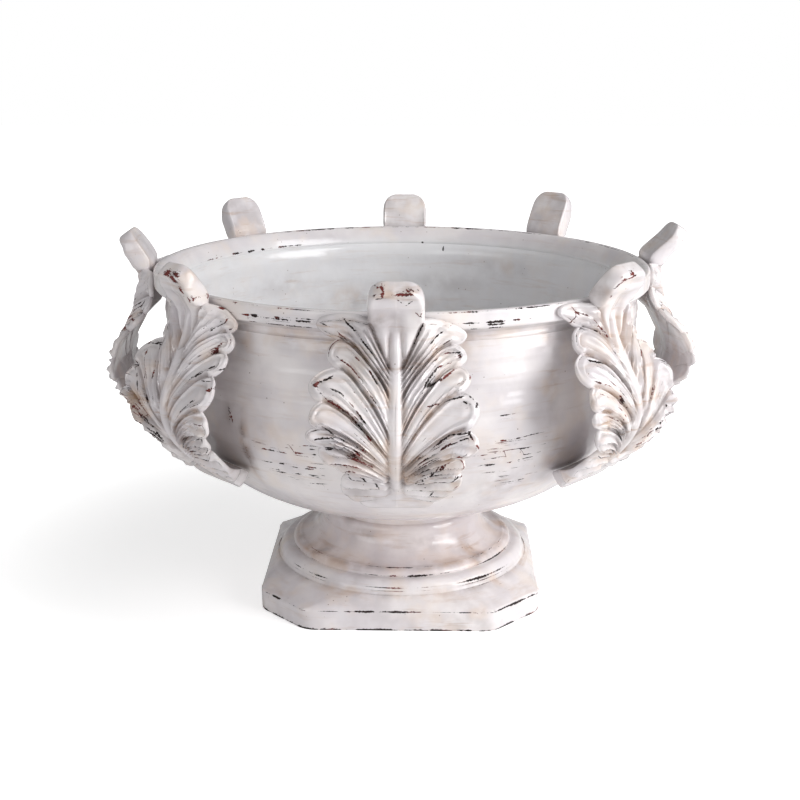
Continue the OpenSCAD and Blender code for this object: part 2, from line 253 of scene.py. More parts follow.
    uneven = addNode(tree, "Math", timesPlus, {0: read["drifts"], 1: 0.12, 2: look["gloss"] - 0.05})
    roughness = addNode(tree, "Mix", inputs={"Factor": bare, "A": uneven, "B": look["clayRoughness"]})
    height = read["ripples"]
    for key in ("dimples", "brush"):
        share = addNode(tree, "Math", times, {0: read[key], 1: 0.12})
        height = addNode(tree, "Math", plus, {0: height, 1: share})
    sunk = addNode(tree, "Math", times, {0: bare, 1: 0.35})
    height = addNode(tree, "Math", minus, {0: height, 1: sunk})
    bump = addNode(tree, "Bump", inputs={"Height": height, "Strength": look["bumpStrength"],
                                         "Distance": look["bumpHigh"]})
    shader = addNode(tree, "BsdfPrincipled", inputs={"Base Color": colour, "Roughness": roughness,
                                                     "IOR": look["glassIor"], "Normal": bump})
    addNode(tree, "OutputMaterial", inputs={"Surface": shader})
    return material


bowlGlaze = makeGlaze("tinWhiteGlazeOnBowl", dashSize=8.0, dashFrom=0.41)
footGlaze = makeGlaze("tinWhiteGlazeOnFoot", tint="#FBF7F6", dashSize=14.0, dashFrom=0.36)
plinthGlaze = makeGlaze("tinWhiteGlazeOnPlinth", dashSize=16.0, dashFrom=0.36, lineWidth=0.8)
leafGlaze = makeGlaze("tinWhiteGlazeOnLeaves", dashSize=10.0, dashFrom=0.37, lineWidth=0.68)
print("glazes mixed")


# thrown pieces: an outline drawn point by point, spun round the axis

def arcPoints(centreR, centreZ, radiusR, radiusZ, start, end, steps):
    turns = [math.radians(start + (end - start) * i / steps) for i in range(steps + 1)]
    return [(centreR + radiusR * math.cos(t), centreZ + radiusZ * math.sin(t)) for t in turns]


def linePoints(first, second, steps):
    return [(mix(first[0], second[0], i / steps), mix(first[1], second[1], i / steps))
            for i in range(1, steps + 1)]


def throwPiece(name, outline, steps):
    clearSelection()
    startR, startZ = outline[0]
    bpy.ops.mesh.primitive_plane_add(size=0.001, location=(0, 0, 0))
    piece = bpy.context.object
    piece.name = name
    piece.data.name = name
    bpy.ops.object.mode_set(mode="EDIT")
    bpy.ops.mesh.select_all(action="SELECT")
    bpy.ops.mesh.merge(type="CENTER")
    bpy.ops.transform.translate(value=(startR / 1000, 0, startZ / 1000))
    for (r0, z0), (r1, z1) in zip(outline, outline[1:]):
        bpy.ops.mesh.extrude_region_move(
            TRANSFORM_OT_translate={"value": ((r1 - r0) / 1000, 0, (z1 - z0) / 1000)})
    bpy.ops.mesh.select_all(action="SELECT")
    bpy.ops.mesh.spin(steps=steps, angle=2 * math.pi, center=(0, 0, 0), axis=(0, 0, 1))
    bpy.ops.mesh.select_all(action="SELECT")
    bpy.ops.mesh.remove_doubles(threshold=0.00001)
    bpy.ops.mesh.normals_make_consistent(inside=False)
    bpy.ops.object.mode_set(mode="OBJECT")
    return piece


def smoothPiece(piece, angle):
    makeActive(piece)
    bpy.ops.object.shade_smooth_by_angle(angle=math.radians(angle))
    clearSelection()


def roundTheAxis(points):  # radius, angle from the front and height
    x, y, z = points.T
    return np.hypot(x, y), np.degrees(np.arctan2(x, -y)), z


def nearLines(radius, height, lines):  # distance in mm from the nearest worn line
    gaps = [np.hypot(radius - r, height - z) for r, z in lines]
    return np.min(gaps, axis=0)


def roundPatches(azimuth, height, radius, patches):
    total = np.zeros(len(azimuth))
    for atAngle, atHeight, wide, high, strength in patches:
        across = (azimuth - atAngle + 180) % 360 - 180
        far = (np.radians(across) * radius / wide) ** 2 + ((height - atHeight) / high) ** 2
        total = np.maximum(total, strength * np.exp(-far))
    return total


bowlParts = {  # mm and degrees
    "neckR": 64.0, "wallR": 193.0, "floorZ": 86.0, "wallZ": 190.0, "rimZ": 278.0,
    "bandZ": 264.5, "rimR": 202.0, "rimRound": 2.5, "grooveZ": 258.0, "grooveHigh": 6.0,
    "grooveDeep": 1.8, "innerR": 183.0, "lipR": 187.0, "lipZ": 266.0, "floorThick": 12.0, "bellyThick": 10.0,
    "ridgePitch": 19.5, "ridgeHigh": 0.85, "ridgeFrom": 138.0, "spinSteps": 288,
    "lipRoundR": 2.4, "lipRoundZ": 3.0, "lipDrop": 1.6, "waveHigh": 0.45,
    # how the wall wavers: size, squash upright, noise number and height, then from and to which heights
    "wavers": [(70, 1.6, 1, 0.35), (28, 2.5, 2, 0.10)], "waverStarts": (100, 150), "waverEnds": (252, 262),
    # listed points, radius and height: the rim's face, its rolled top and the fall inside the lip
    "bandFoot": [(2.0, -1.2), (5.0, -0.3)],  # out from the wall, up from the band's foot
    "rimFace": [(202.0, 268.3), (202.0, 269.6), (202.0, 270.9)],
    "rimTop": [(198.2, 278.0), (196.6, 277.6), (194.8, 276.4), (192.6, 274.2), (190.4, 271.4)],
    "lipFall": [(185.8, 262.0), (184.2, 259.0), (183.4, 254.0)],
    # worn lines, radius and height
    "wornLines": [(201.3, 277.3), (202.0, 269.6), (201.3, 265.2), (196.6, 277.6), (187.5, 265.6)],
    # rubbed places on the rim: turn from the front, height, half width, half height, strength
    "rimRubs": [
        (-27, 273, 36, 7, 1.3), (-20, 268, 22, 5, 1.1), (24, 277, 34, 5, 1.1), (20, 269, 26, 4, 0.9),
        (-129, 266, 60, 6, 1.6), (-160, 277, 50, 5, 1.3), (166, 277, 55, 5, 1.35),
        (120, 277, 30, 4, 0.7), (-60, 277, 30, 4, 0.6),
    ],
    # broken strokes on the wall
    "strokeRubs": [
        (-26, 172, 34, 3.2, 1.0), (-22, 157, 26, 3.0, 0.75), (-20, 151, 22, 3.2, 0.85),
        (-16, 164, 20, 2.4, 0.7), (24, 176, 30, 10, 0.74), (26, 150, 40, 12, 0.55),
        (-18, 262, 30, 4, 0.5), (28, 262, 26, 4, 0.45), (70, 165, 40, 10, 0.8), (112, 160, 40, 12, 0.8),
        (157, 170, 40, 10, 0.85), (-157, 165, 40, 12, 0.85), (-112, 158, 40, 12, 0.8),
        (-70, 168, 40, 10, 0.8), (200, 235, 50, 8, 0.45), (66, 240, 26, 6, 0.5), (-66, 236, 26, 6, 0.5),
    ],
    # single strokes across the wall: turn from the front, height, half length, wear
    "strokes": [
        (-24, 169.3, 27, 1.15), (-24, 158.5, 26, 0.95), (-23.6, 151, 19, 1.05), (-20.5, 176, 12, 0.6),
        (-21, 271.3, 19, 1.5), (-30, 270.4, 8, 1.0), (-19.5, 144, 9, 0.7), (24, 199.5, 7, 0.85),
        (24.3, 191, 14, 0.9), (25, 180.5, 25, 0.85), (26, 171.5, 28, 1.05), (25, 162, 22, 0.85),
        (22.5, 155, 9, 0.7), (29, 143, 13, 0.75), (20, 268, 10, 0.9), (70, 171, 16, 1.1),
        (64, 158, 12, 0.9), (112, 166, 18, 1.1), (118, 152, 12, 0.8), (157, 174, 17, 1.1),
        (151, 160, 14, 0.9), (-157, 170, 18, 1.1), (-163, 156, 12, 0.9), (-112, 168, 17, 1.1),
        (-106, 153, 14, 0.8), (-69, 172, 15, 1.1), (-64, 158, 11, 0.9), (180, 236, 14, 0.7),
        (-90, 238, 12, 0.6),
    ],
    # brown and tan stains, with painted shade: on the wall just behind the front-left and front-right leaves'
    # edges, behind the other leaves lower down, and beside every leaf's shoulders under the rim band
    "stainsAndShade": [
        (-36, 166, 4, 24, 2.9), (-40, 190, 4, 9, 1.3), (-34, 248, 9, 12, 1.0), (-24, 254, 24, 9, 0.6),
        (-15, 251, 9, 12, 0.95), (15, 254, 10, 12, 0.95), (34, 250, 12, 9, 1.1), (35, 215, 6, 34, 0.95),
        (38, 158, 8, 22, 1.1), (-28, 184, 14, 10, 0.55), (25, 140, 26, 16, 0.8), (24, 168, 22, 8, 0.6),
        (-22, 150, 26, 10, 0.6), (-160, 270, 14, 6, 0.5), (60, 250, 10, 10, 1.0),
        (75, 252, 10, 10, 0.9), (105, 250, 10, 10, 0.9), (122, 250, 10, 10, 0.9),
        (150, 250, 10, 12, 1.0), (168, 252, 10, 12, 0.9), (192, 250, 10, 12, 1.0),
        (212, 250, 10, 12, 0.9), (238, 250, 10, 12, 1.0), (258, 250, 10, 12, 0.9),
        (283, 250, 10, 12, 1.0), (300, 250, 10, 12, 0.9), (85, 185, 8, 30, 0.8), (140, 180, 8, 30, 0.8),
        (185, 178, 8, 30, 0.7), (232, 182, 8, 30, 0.8),
    ],
    # painted shade: darker bands on the inner wall at the back, well below the lip
    "paintedInsideShade": [
        (-163, 211, 22, 12, 0.9), (180, 205, 34, 10, 0.8), (170, 225, 40, 12, 0.55),
        (-140, 230, 40, 12, 0.5), (150, 245, 30, 10, 0.6), (120, 220, 40, 14, 0.5),
    ],
    # chips through to the clay, outside and inside
    "chips": [(-40.2, 192, 2.2, 7, 0.62), (-38.6, 186, 1.8, 3.5, 0.6)],
    "insideChips": [(175, 264, 2.6, 1.2, 0.75), (168.8, 259, 1.2, 4.0, 0.7)],
}


def throwBowl():
    form = bowlParts
    depth = form["wallZ"] - form["floorZ"]
    wide = form["wallR"] - form["neckR"]
    ridgeTop = form["grooveZ"] - form["grooveHigh"] / 2

    def ridges(z):  # finger ridges left by throwing, a little uneven
        fade = rise(z, form["ridgeFrom"], form["ridgeFrom"] + form["ridgePitch"])
        main = form["ridgeHigh"] * (1 - math.cos(2 * math.pi * (ridgeTop - z) / form["ridgePitch"])) / 2
        fine = 0.14 * math.sin(z * 1.13) + 0.10 * math.sin(z * 0.71 + 1)
        return (main + fine * 0.7) * float(fade)

    # from the floor's middle out over the belly, up the wall and round the rim
    outline = [(0, form["floorZ"]), (form["neckR"] * 0.5, form["floorZ"]), (form["neckR"], form["floorZ"])]
    for i in range(1, 45):
        t = math.radians(i * 2)
        z = form["wallZ"] - depth * math.cos(t)
        outline.append((form["neckR"] + wide * math.sin(t) + ridges(z), z))
    for i in range(40):
        z = mix(form["wallZ"] + 3.6, ridgeTop, i / 40)
        outline.append((form["wallR"] + ridges(z), z))
    outline += arcPoints(form["wallR"], form["grooveZ"], form["grooveDeep"],
                         form["grooveHigh"] / 2, 270, 90, 10)
    edge = form["rimRound"]
    band = form["rimR"] - edge
    outline += [(form["wallR"] + out, form["bandZ"] + up) for out, up in form["bandFoot"]]
    outline += arcPoints(band, form["bandZ"] + edge, edge, edge, 280, 360, 6)
    outline += form["rimFace"]
    outline += arcPoints(band, form["rimZ"] - edge, edge, edge, 0, 90, 6)
    outline += form["rimTop"]
    outline += arcPoints(form["lipR"] + form["lipRoundR"], form["lipZ"] - form["lipDrop"],
                         form["lipRoundR"], form["lipRoundZ"], 145, 205, 5)
    outline += form["lipFall"]
    # down the inner wall, with slow finger waves, and in along the floor
    for i in range(1, 25):
        z = mix(form["lipFall"][-1][1], form["wallZ"], i / 24)
        outline.append((form["innerR"] + form["waveHigh"] * (1 + math.sin(z * 0.29)) * 0.5, z))
    floorR = form["neckR"] - form["bellyThick"]
    floorTop = form["floorZ"] + form["floorThick"]
    for i in range(1, 31):
        t = math.radians(i * 3)
        z = form["wallZ"] - (form["wallZ"] - floorTop) * math.sin(t)
        outline.append((floorR + (form["innerR"] - floorR) * math.cos(t), z))
    outline += [(30.0, floorTop), (0, floorTop)]

    bowl = throwPiece("bowlThrown", outline, form["spinSteps"])
    points = meshPoints(bowl)
    radius, azimuth, height = roundTheAxis(points)
    # a hand-thrown wall wavers a few tenths of a millimetre
    waver = sum(high * softNoise(points * [1, 1, squash], size, seed)
                for size, squash, seed, high in form["wavers"])
    waver *= rise(height, *form["waverStarts"]) * (1 - rise(height, *form["waverEnds"]))
    moved = points.copy()
    moved[:, :2] *= (1 + (waver / np.maximum(radius, 1)))[:, None]
    bowl.data.vertices.foreach_set("co", (moved / 1000).ravel())

    belly = form["neckR"] + wide * np.sqrt(np.clip(1 - ((form["wallZ"] - height) / depth) ** 2, 0, 1))
    outer = np.where(height < form["wallZ"], belly, form["wallR"])
    inside = (radius < outer - 5.5) & (height > form["floorZ"] + 5)
    rubs = roundPatches(azimuth, height, 200, form["rimRubs"])
    slow = softNoise(points * [1, 1, 0.01], 40, 3)
    addField(bowl, "coreLine", nearLines(radius, height, form["wornLines"]))
    addField(bowl, "coreWear", np.clip(rubs + 0.45 * rise(slow, 0.15, 0.7), 0, 1.4))
    strokeLine = np.full(len(points), 9.0)
    strokeWear = np.zeros(len(points))
    for atAngle, atHeight, long, wear in form["strokes"]:
        along = np.radians((azimuth - atAngle + 180) % 360 - 180) * form["wallR"]
        gap = height - atHeight - 0.03 * along - 0.5 * np.sin(along / 7 + atHeight)
        here = ~inside & (np.abs(gap) < 3.4) & (np.abs(along) < long * 1.7)
        strokeLine = np.where(here, gap, strokeLine)
        strokeWear = np.where(here, wear * np.exp(-(along / long) ** 4), strokeWear)
    addField(bowl, "rimLine", strokeLine)
    addField(bowl, "rimWear", strokeWear)
    strokes = roundPatches(azimuth, height, form["wallR"], form["strokeRubs"]) * ~inside
    addField(bowl, "streak", strokes + 0.12)
    # stains outside, with painted shade behind and beside the leaves
    washesAndShade = roundPatches(azimuth, height, form["wallR"], form["stainsAndShade"]) * ~inside
    # painted shade on the inner wall
    washesAndShade += roundPatches(azimuth, height, form["innerR"], form["paintedInsideShade"]) * inside
    washesAndShade += 0.35 * np.exp(-((height - form["grooveZ"] - 1) / 3.5) ** 2) * ~inside
    washesAndShade = 0.62 * washesAndShade + 0.07 + 0.08 * softNoise(points, 30, 4)
    addField(bowl, "washAndShade", np.clip(washesAndShade, 0, 1.6))
    addField(bowl, "cool", 0.75 * inside * (1 - rise(height, 262, 272)))
    chips = roundPatches(azimuth, height, form["wallR"], form["chips"])
    chips += inside * roundPatches(azimuth, height, form["innerR"], form["insideChips"])
    addField(bowl, "chip", chips)
    bowl.data.materials.append(bowlGlaze)
    smoothPiece(bowl, 50)
    standFor(bowl, "bowl")
    return bowl


footParts = {  # mm
    "baseZ": 37.0, "topZ": 86.0, "beadWide": 6.5, "beadHigh": 5.5,
    "coveR": 88.0, "coveZ": 64.5, "coveWide": 20.0, "coveHigh": 22.0, "neckR": 64.0,
    "collarOut": 4.0, "collarHigh": 6.0, "collarTopZ": 70.8, "throatZ": 76.0, "wall": 10.0, "spinSteps": 192,
    # listed points, radius and height
    "beadTop": [(88.4, 42.9), (87.4, 43.1)], "collarFoot": [(68.0, 64.6)],
    "wornLines": [(94.4, 38.0), (88.4, 42.9), (68.0, 64.6)],
    "rubs": [
        (5, 38, 30, 4, 1.25), (0, 43, 22, 3, 1.0), (58, 40, 22, 5, 1.2), (-60, 41, 26, 5, 0.6),
        (120, 40, 26, 5, 0.9), (180, 40, 30, 5, 0.8), (-125, 40, 26, 5, 0.9),
    ],
    "stainsAndShade": [
        (48, 47, 9, 6, 1.3), (-52, 42, 16, 4, 1.0), (-30, 41, 18, 3, 0.8), (40, 40, 20, 3, 0.8),
        (-25, 62, 20, 5, 0.7), (20, 55, 26, 5, 0.5), (-40, 72, 14, 5, 0.9), (150, 50, 20, 8, 0.9),
        (-140, 60, 20, 8, 0.9), (100, 44, 20, 5, 0.8),
    ],
}


def throwFoot():
    form = footParts
    inner = form["neckR"] - form["wall"]
    outline = arcPoints(form["coveR"], form["baseZ"], form["beadWide"], form["beadHigh"], 0, 82, 8)
    outline += form["beadTop"]
    outline += arcPoints(form["coveR"], form["coveZ"], form["coveWide"], form["coveHigh"] - 0.4, 264, 182, 26)
    outline += form["collarFoot"]
    outline += arcPoints(form["neckR"], form["coveZ"], form["collarOut"], form["collarHigh"], 12, 84, 8)
    outline += linePoints((form["neckR"], form["collarTopZ"]), (form["neckR"], form["topZ"]), 8)
    outline += [(inner, form["topZ"]), (inner, form["throatZ"])]
    outline += arcPoints(form["coveR"], form["coveZ"], form["coveWide"] + form["wall"],
                         form["coveHigh"] + form["wall"], 180, 239, 10)
    outline += [outline[0]]
    foot = throwPiece("footThrown", outline, form["spinSteps"])
    points = meshPoints(foot)
    radius, azimuth, height = roundTheAxis(points)
    addField(foot, "coreLine", nearLines(radius, height, form["wornLines"]))
    addField(foot, "coreWear", roundPatches(azimuth, height, 92, form["rubs"]))
    addField(foot, "streak", 0.1 + 0.25 * rise(softNoise(points, 40, 5), 0.2, 0.8))
    washesAndShade = 0.7 * roundPatches(azimuth, height, 85, form["stainsAndShade"])
    washesAndShade += 0.24 + 0.1 * softNoise(points * [1, 1, 3], 22, 6)
    washesAndShade += 0.35 * np.exp(-((radius - 89) / 3) ** 2) * (height < 46)
    addField(foot, "washAndShade", np.clip(washesAndShade, 0, 1.5))
    foot.data.materials.append(footGlaze)
    smoothPiece(foot, 50)
    standFor(foot, "foot")
    return foot


throwBowl()
print("bowl thrown")
throwFoot()
print("foot thrown")


# plinth: a pressed slab, its corners cut, its top drawn up to a round moulding

plinthParts = {  # mm
    "width": 230.0, "cornerCut": 40.0, "edgeHigh": 17.5, "creaseR": 108.0, "creaseZ": 27.0,
    "ringR": 98.5, "ringWide": 8.0, "ringZ": 37.0, "wellR": 72.7, "hollowZ": 13.0, "wall": 14.0,
    "edgeRound": 2.6, "cornerRound": 8.0, "cutsPerSide": 23,
    # listed points, radius and height: past the crease and over the ring
    "creasePoints": [(107.3, 26.9), (106.9, 27.1)], "ringTop": [(97.0, 37.0), (94.6, 36.9)],
    # rubbed places, across and towards the back from the middle: x, y, half width, wear
    "topRubs": [
        (-15, -115, 34, 1.5), (62, -115, 18, 0.8), (-95, -95, 26, 1.3), (95, -95, 28, 1.35),
        (-115, -30, 26, 0.7), (-115, 30, 30, 1.0), (115, -20, 30, 0.9), (115, 45, 20, 0.7),
        (95, 95, 28, 1.3), (-95, 95, 28, 1.2), (0, 115, 44, 1.0),
    ],
    "ringRubs": [
        (60, -78, 14, 1.1), (78, -60, 12, 0.9), (-70, -70, 18, 0.8), (0, -98, 26, 0.5),
        (-95, 20, 24, 0.9), (95, 20, 24, 0.9), (30, 95, 30, 0.9), (-40, 90, 26, 0.8),
    ],
    "stainsAndShade": [
        (58, -115, 26, 1.2), (-30, -108, 40, 0.5), (-100, -90, 24, 0.7), (84, -84, 20, 0.8),
        (0, -104, 60, 0.35), (-115, 0, 30, 0.6), (115, 10, 30, 0.6), (30, 110, 40, 0.7),
    ],
}


def pressPlinth():
    form = plinthParts
    top, roof = form["edgeHigh"], form["hollowZ"]
    half = form["width"] / 2
    clearSelection()
    bpy.ops.mesh.primitive_cube_add(size=1, location=(0, 0, top / 2000))
    plinth = bpy.context.object
    plinth.name = "plinthPressed"
    plinth.data.name = "plinthPressed"
    bpy.ops.transform.resize(value=(half / 500, half / 500, top / 1000))
    bpy.ops.object.transform_apply(location=True, rotation=True, scale=True)
    mesh = plinth.data

    def chooseNone(kind):
        bpy.ops.object.mode_set(mode="EDIT")
        bpy.ops.mesh.select_mode(type=kind)
        bpy.ops.mesh.select_all(action="DESELECT")

    def chooseEdges(test):
        chooseNone("EDGE")
        bpy.ops.object.mode_set(mode="OBJECT")
        for line in mesh.edges:
            a, b = (mesh.vertices[i].co * 1000 for i in line.vertices)
            line.select = bool(test(a, b))
        bpy.ops.object.mode_set(mode="EDIT")

    def chooseFaces(test):
        chooseNone("FACE")
        bpy.ops.object.mode_set(mode="OBJECT")
        for face in mesh.polygons:
            face.select = bool(test(face.center * 1000, face.normal))
        bpy.ops.object.mode_set(mode="EDIT")

    def chooseOpenLoops(low, high, zLow, zHigh):  # edges of a gap, by their radius and height
        chooseNone("EDGE")
        bpy.ops.mesh.select_non_manifold(extend=False)
        bpy.ops.object.mode_set(mode="OBJECT")
        for line in mesh.edges:
            ends = [mesh.vertices[i].co * 1000 for i in line.vertices]
            near = all(zLow <= p.z <= zHigh and low <= math.hypot(p.x, p.y) <= high for p in ends)
            line.select = line.select and near
        bpy.ops.object.mode_set(mode="EDIT")

    # cut the four corners
    chooseEdges(lambda a, b: abs(a.z - b.z) > 1)
    bpy.ops.mesh.bevel(offset=form["cornerCut"] / 1000, segments=1, affect="EDGES")
    # the hollow underside
    chooseFaces(lambda c, n: n.z < -0.9)
    bpy.ops.mesh.inset(thickness=form["wall"] / 1000, depth=0)
    bpy.ops.mesh.extrude_region_move(TRANSFORM_OT_translate={"value": (0, 0, roof / 1000)})
    bpy.ops.mesh.delete(type="FACE")
    chooseFaces(lambda c, n: n.z > 0.9 and c.z > top - 1)
    bpy.ops.mesh.delete(type="ONLY_FACE")
    # finer sides, so that the slab meets the round moulding evenly
    for level in (top, roof):
        chooseEdges(lambda a, b: abs(a.z - b.z) < 0.01 and abs(a.z - level) < 0.01)
        bpy.ops.mesh.subdivide(number_cuts=form["cutsPerSide"])
    count = 8 * (form["cutsPerSide"] + 1)
    # the round moulding, drawn ring by ring from the crease to the well
    bpy.ops.mesh.select_all(action="DESELECT")
    bpy.ops.mesh.primitive_circle_add(vertices=count, radius=form["creaseR"] / 1000,
                                      location=(0, 0, form["creaseZ"] / 1000))
    rings = form["creasePoints"] + arcPoints(form["ringR"], form["creaseZ"], form["ringWide"],
                                             form["ringZ"] - form["creaseZ"], 4, 90, 10)
    rings += form["ringTop"] + [(form["wellR"], form["ringTop"][-1][1]), (form["wellR"], roof)]
    radius, height = form["creaseR"], form["creaseZ"]
    for nextR, nextZ in rings:
        bpy.ops.mesh.extrude_region_move(
            TRANSFORM_OT_translate={"value": (0, 0, (nextZ - height) / 1000)})
        bpy.ops.transform.resize(value=(nextR / radius, nextR / radius, 1),
                                 center_override=(0, 0, nextZ / 1000))
        radius, height = nextR, nextZ
    # join the slab to the moulding, above and below
    chooseOpenLoops(100, 200, top - 0.5, form["creaseZ"] + 0.5)
    bpy.ops.mesh.bridge_edge_loops(number_cuts=3)
    chooseOpenLoops(60, 200, roof - 0.5, roof + 0.5)
    bpy.ops.mesh.bridge_edge_loops()
    bpy.ops.mesh.select_all(action="SELECT")
    bpy.ops.mesh.normals_make_consistent(inside=False)

    # soft edges: the slab's corners, then its upper edge
    cutAcross = (2 * half - form["cornerCut"]) / math.sqrt(2)

    def outside(*ends):
        return all(half - max(abs(p.x), abs(p.y)) < 2.2
                   or cutAcross - (abs(p.x) + abs(p.y)) / math.sqrt(2) < 2.2 for p in ends)

    chooseEdges(lambda a, b: outside(a, b) and abs(a.z - b.z) > 1 and max(a.z, b.z) < top + 0.01)
    bpy.ops.mesh.bevel(offset=form["cornerRound"] / 1000, segments=6, affect="EDGES")
    chooseEdges(lambda a, b: outside(a, b) and abs(a.z - top) < 0.01 and abs(b.z - top) < 0.01)
    bpy.ops.mesh.bevel(offset=form["edgeRound"] / 1000, segments=4, affect="EDGES")
    bpy.ops.object.mode_set(mode="OBJECT")

    points = meshPoints(plinth)
    x, y, z = points.T
    radius = np.hypot(x, y)

    def spots(places):
        gaps = [strength * np.exp(-((x - atX) ** 2 + (y - atY) ** 2) / wide**2)
                for atX, atY, wide, strength in places]
        return np.max(gaps, axis=0)

    onSide = (z < top + 0.1) & (radius > form["creaseR"] - 2)
    foot = softNoise(points * [1, 1, 0.01], 45, 9)
    addField(plinth, "rimLine", np.where(onSide, z - 16.2, 9.0))
    addField(plinth, "rimWear", spots(form["topRubs"]) * onSide + 0.1)
    # a dark line drawn along the slab's whole bottom edge, where it meets the floor
    addField(plinth, "coreLine", np.where(onSide, z - 0.5, 9.0))
    addField(plinth, "coreWear", np.clip(1.3 + 0.9 * foot, 0, 1.6))
    crease = np.where(radius < form["creaseR"] + 1, radius - 107.6, 9.0)
    addField(plinth, "edgeLine", np.where(z > 30, radius - 105.2, crease))
    addField(plinth, "edgeWear", spots(form["ringRubs"]))
    addField(plinth, "streak", 0.15 + 0.2 * spots(form["topRubs"]))
    washesAndShade = 0.6 * spots(form["stainsAndShade"]) * (0.7 + 0.5 * softNoise(points, 14, 8))
    washesAndShade += 0.10 + 0.1 * softNoise(points, 40, 7)
    washesAndShade += 0.5 * np.exp(-((radius - 107.8) / 1.8) ** 2) * (z > 20)
    addField(plinth, "washAndShade", np.clip(washesAndShade, 0, 1.6))
    mesh.materials.append(plinthGlaze)
    smoothPiece(plinth, 35)
    standFor(plinth, "plinth")
    return plinth


pressPlinth()
print("plinth pressed")


# leaves: each half is a sheet of rows, from the midrib out to the lobes' edge.
# Their shape comes from formulas because no modelling tool gives an acanthus leaf.

leafForm = {  # mm
    "lobeRows": 30, "tabRows": 26, "columns": 38, "backColumns": 11, "halfWide": 59.2, "tongueHalf": 22.7,
    "tabHalf": 17.45, "tongueZ": 131.95, "span": 146.05, "bandZ": 264.5, "rimZ": 278.0,
    "rimR": 202.3, "bulgeR": 243.0, "thick": 10.5, "edgeThick": 6.0, "tongueThick": 14.0,
    "tabThick": 13.0, "tabTopZ": 299.5, "archHigh": 11.87, "edgeBulge": 1.8, "notchDeep": 9.0,
    "shoulderZ": 224.0, "shoulderFrom": 16.17, "shoulderTo": 30.8, "baseZ": 155.3,
    "lobesZ": 168.8, "bulgeZ": 199.13,
    "tongueSeatR": 178.0, "tongueTurn": 42.0, "tabLean": 16.0, "tongueCorner": 6.0,
    "midribLean": 4.2, "midribTop": 109.5, "veinOut": 1.6, "veinUp": 1.3,
    "dropFoot": 241.0, "dropOut": 0.7, "dropPlump": 2.5, "dropRound": 6.5,
    "crown": 1.1, "rimRidge": 1.9, "rimAt": 0.26, "tongueRidge": 2.1, "tongueAt": 0.68,
    "teeth": 0.9, "slit": 1.3, "boundary": 2.4,
    "fingerHigh": 3.5, "midribHigh": 1.7, "midribWide": 3.3, "edgeRound": 2.2, "tabRound": 3.4,
    "thinnest": 2.4, "lumpHigh": 0.3, "lumpSize": 16.0, "shiftTo": 38.5,
    "sink": 1.9,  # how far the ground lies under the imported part's face
    # across a plain lobe, from its rim in, as shares of its half width
    "rimWide": 0.12, "grooveAt": 0.46, "grooveWide": 0.08, "tongueWide": 0.15, "slitWide": 0.055,
    "washAt": 0.44,
    # in mm again: grooves between the lobes, beside the midrib and round the drops of the tab
    "grooveDeep": 0.9, "gullyDeep": 0.6, "gullyWide": 4.0, "boundaryWide": 1.6, "overlap": 0.8,
    "ribSide": 1.6, "ribSunk": 0.3, "trenchOut": 2.0, "trenchDeep": 1.1, "trenchWide": 1.5,
    "dropEdgeDeep": 3.0, "betweenDeep": 1.7, "betweenWide": 4.0, "besideDeep": 1.3, "besideWide": 1.8,
    # heights between which a part of the relief or of the wear comes in or dies away
    "ribFoot": (146, 160), "ribHead": (260, 274), "ribSwells": (165, 215), "ribTapers": (235, 262),
    "trenchFades": (252, 270), "ribWashFades": (262, 284), "dropsMeet": (262, 275),
    "dropEdgeFades": (268, 276), "betweenStarts": (262, 270), "betweenEnds": (278, 287),
    "besideFades": (262, 274), "tabFlattens": (287, 294), "dropWashFades": (268, 278),
    "footWashFades": (160, 205), "combedRubFades": (178, 200), "edgeRubFades": (255, 266),
    # rows up the tongue's rounded end and down from the tab's top, columns in from the edge
    "tongueSteps": [0, 0.25, 0.7, 1.4, 2.4, 3.6, 5.0, 6.6],
    "archSteps": [11.87, 10.2, 8.6, 7.2, 5.9, 4.7, 3.6, 2.7, 1.9, 1.25, 0.75, 0.38, 0.14, 0.0],
    "edgeColumns": [0, 0.3, 0.75, 1.35, 2.1, 3.0, 4.1, 5.4],
    "edgeTurns": [28, 58, 90, 122, 152],  # degrees round the edge, from front to back
    # reach as a share of the half width, height as a share of the span, combed 0 to 1
    "lobesLeft": [
        (0.62, 0.16, 0.9), (0.83, 0.37, 1.0), (0.98, 0.475, 0.7), (0.95, 0.57, 0.5), (0.95, 0.71, 0.2),
        (0.77, 0.815, 0.3), (0.87, 0.95, 0.6),
    ],
    "lobesRight": [
        (0.73, 0.20, 1.0), (0.77, 0.32, 1.0), (0.91, 0.42, 1.0), (0.91, 0.62, 0.5), (0.82, 0.73, 0.5),
        (0.78, 0.81, 0.2), (0.75, 0.91, 0.7),
    ],
}
# what the hand that stuck on each leaf left different, round from the front
leafHand = {  # degrees round the rim, then shares of a width, then mm
    "names": ["front", "front_right", "right", "back_right", "back", "back_left", "left", "front_left"],
    "drift": [0.2, 1.1, 7.3, 6.1, 0.5, -0.2, 1.3, 0.6],
    # the lower and the upper lobes' width
    "low": [1, 0.91, 0.88, 0.95, 0.96, 0.94, 0.92, 0.94],
    "spread": [1, 0.87, 0.95, 0.95, 0.96, 0.94, 0.92, 0.91],
    # the shoulders' width, left and right of the midrib
    "shoulder": [
        (1, 1), (0.68, 0.76), (0.9, 0.9), (0.95, 0.95), (0.96, 0.96), (0.94, 0.94), (0.92, 0.92),
        (0.85, 0.82),
    ],
    "tabSpread": [1, 1.04, 0.94, 1, 1.1, 1, 1, 0.88],
    # the tab to the right, the lobes outward, the tab's top outward and upward
    "tabShift": [0, 0.5, 0, 0, 0, 0, 0, -2.0],
    "swing": [0, 0, -4, 0, -2, 1, -5, -1],
    "tabOut": [0, 1, 9, 3, 0, 1, 0, 0],
    "tabLift": [-3, -2, 0, 8, 0, 4, -1, -3],
}
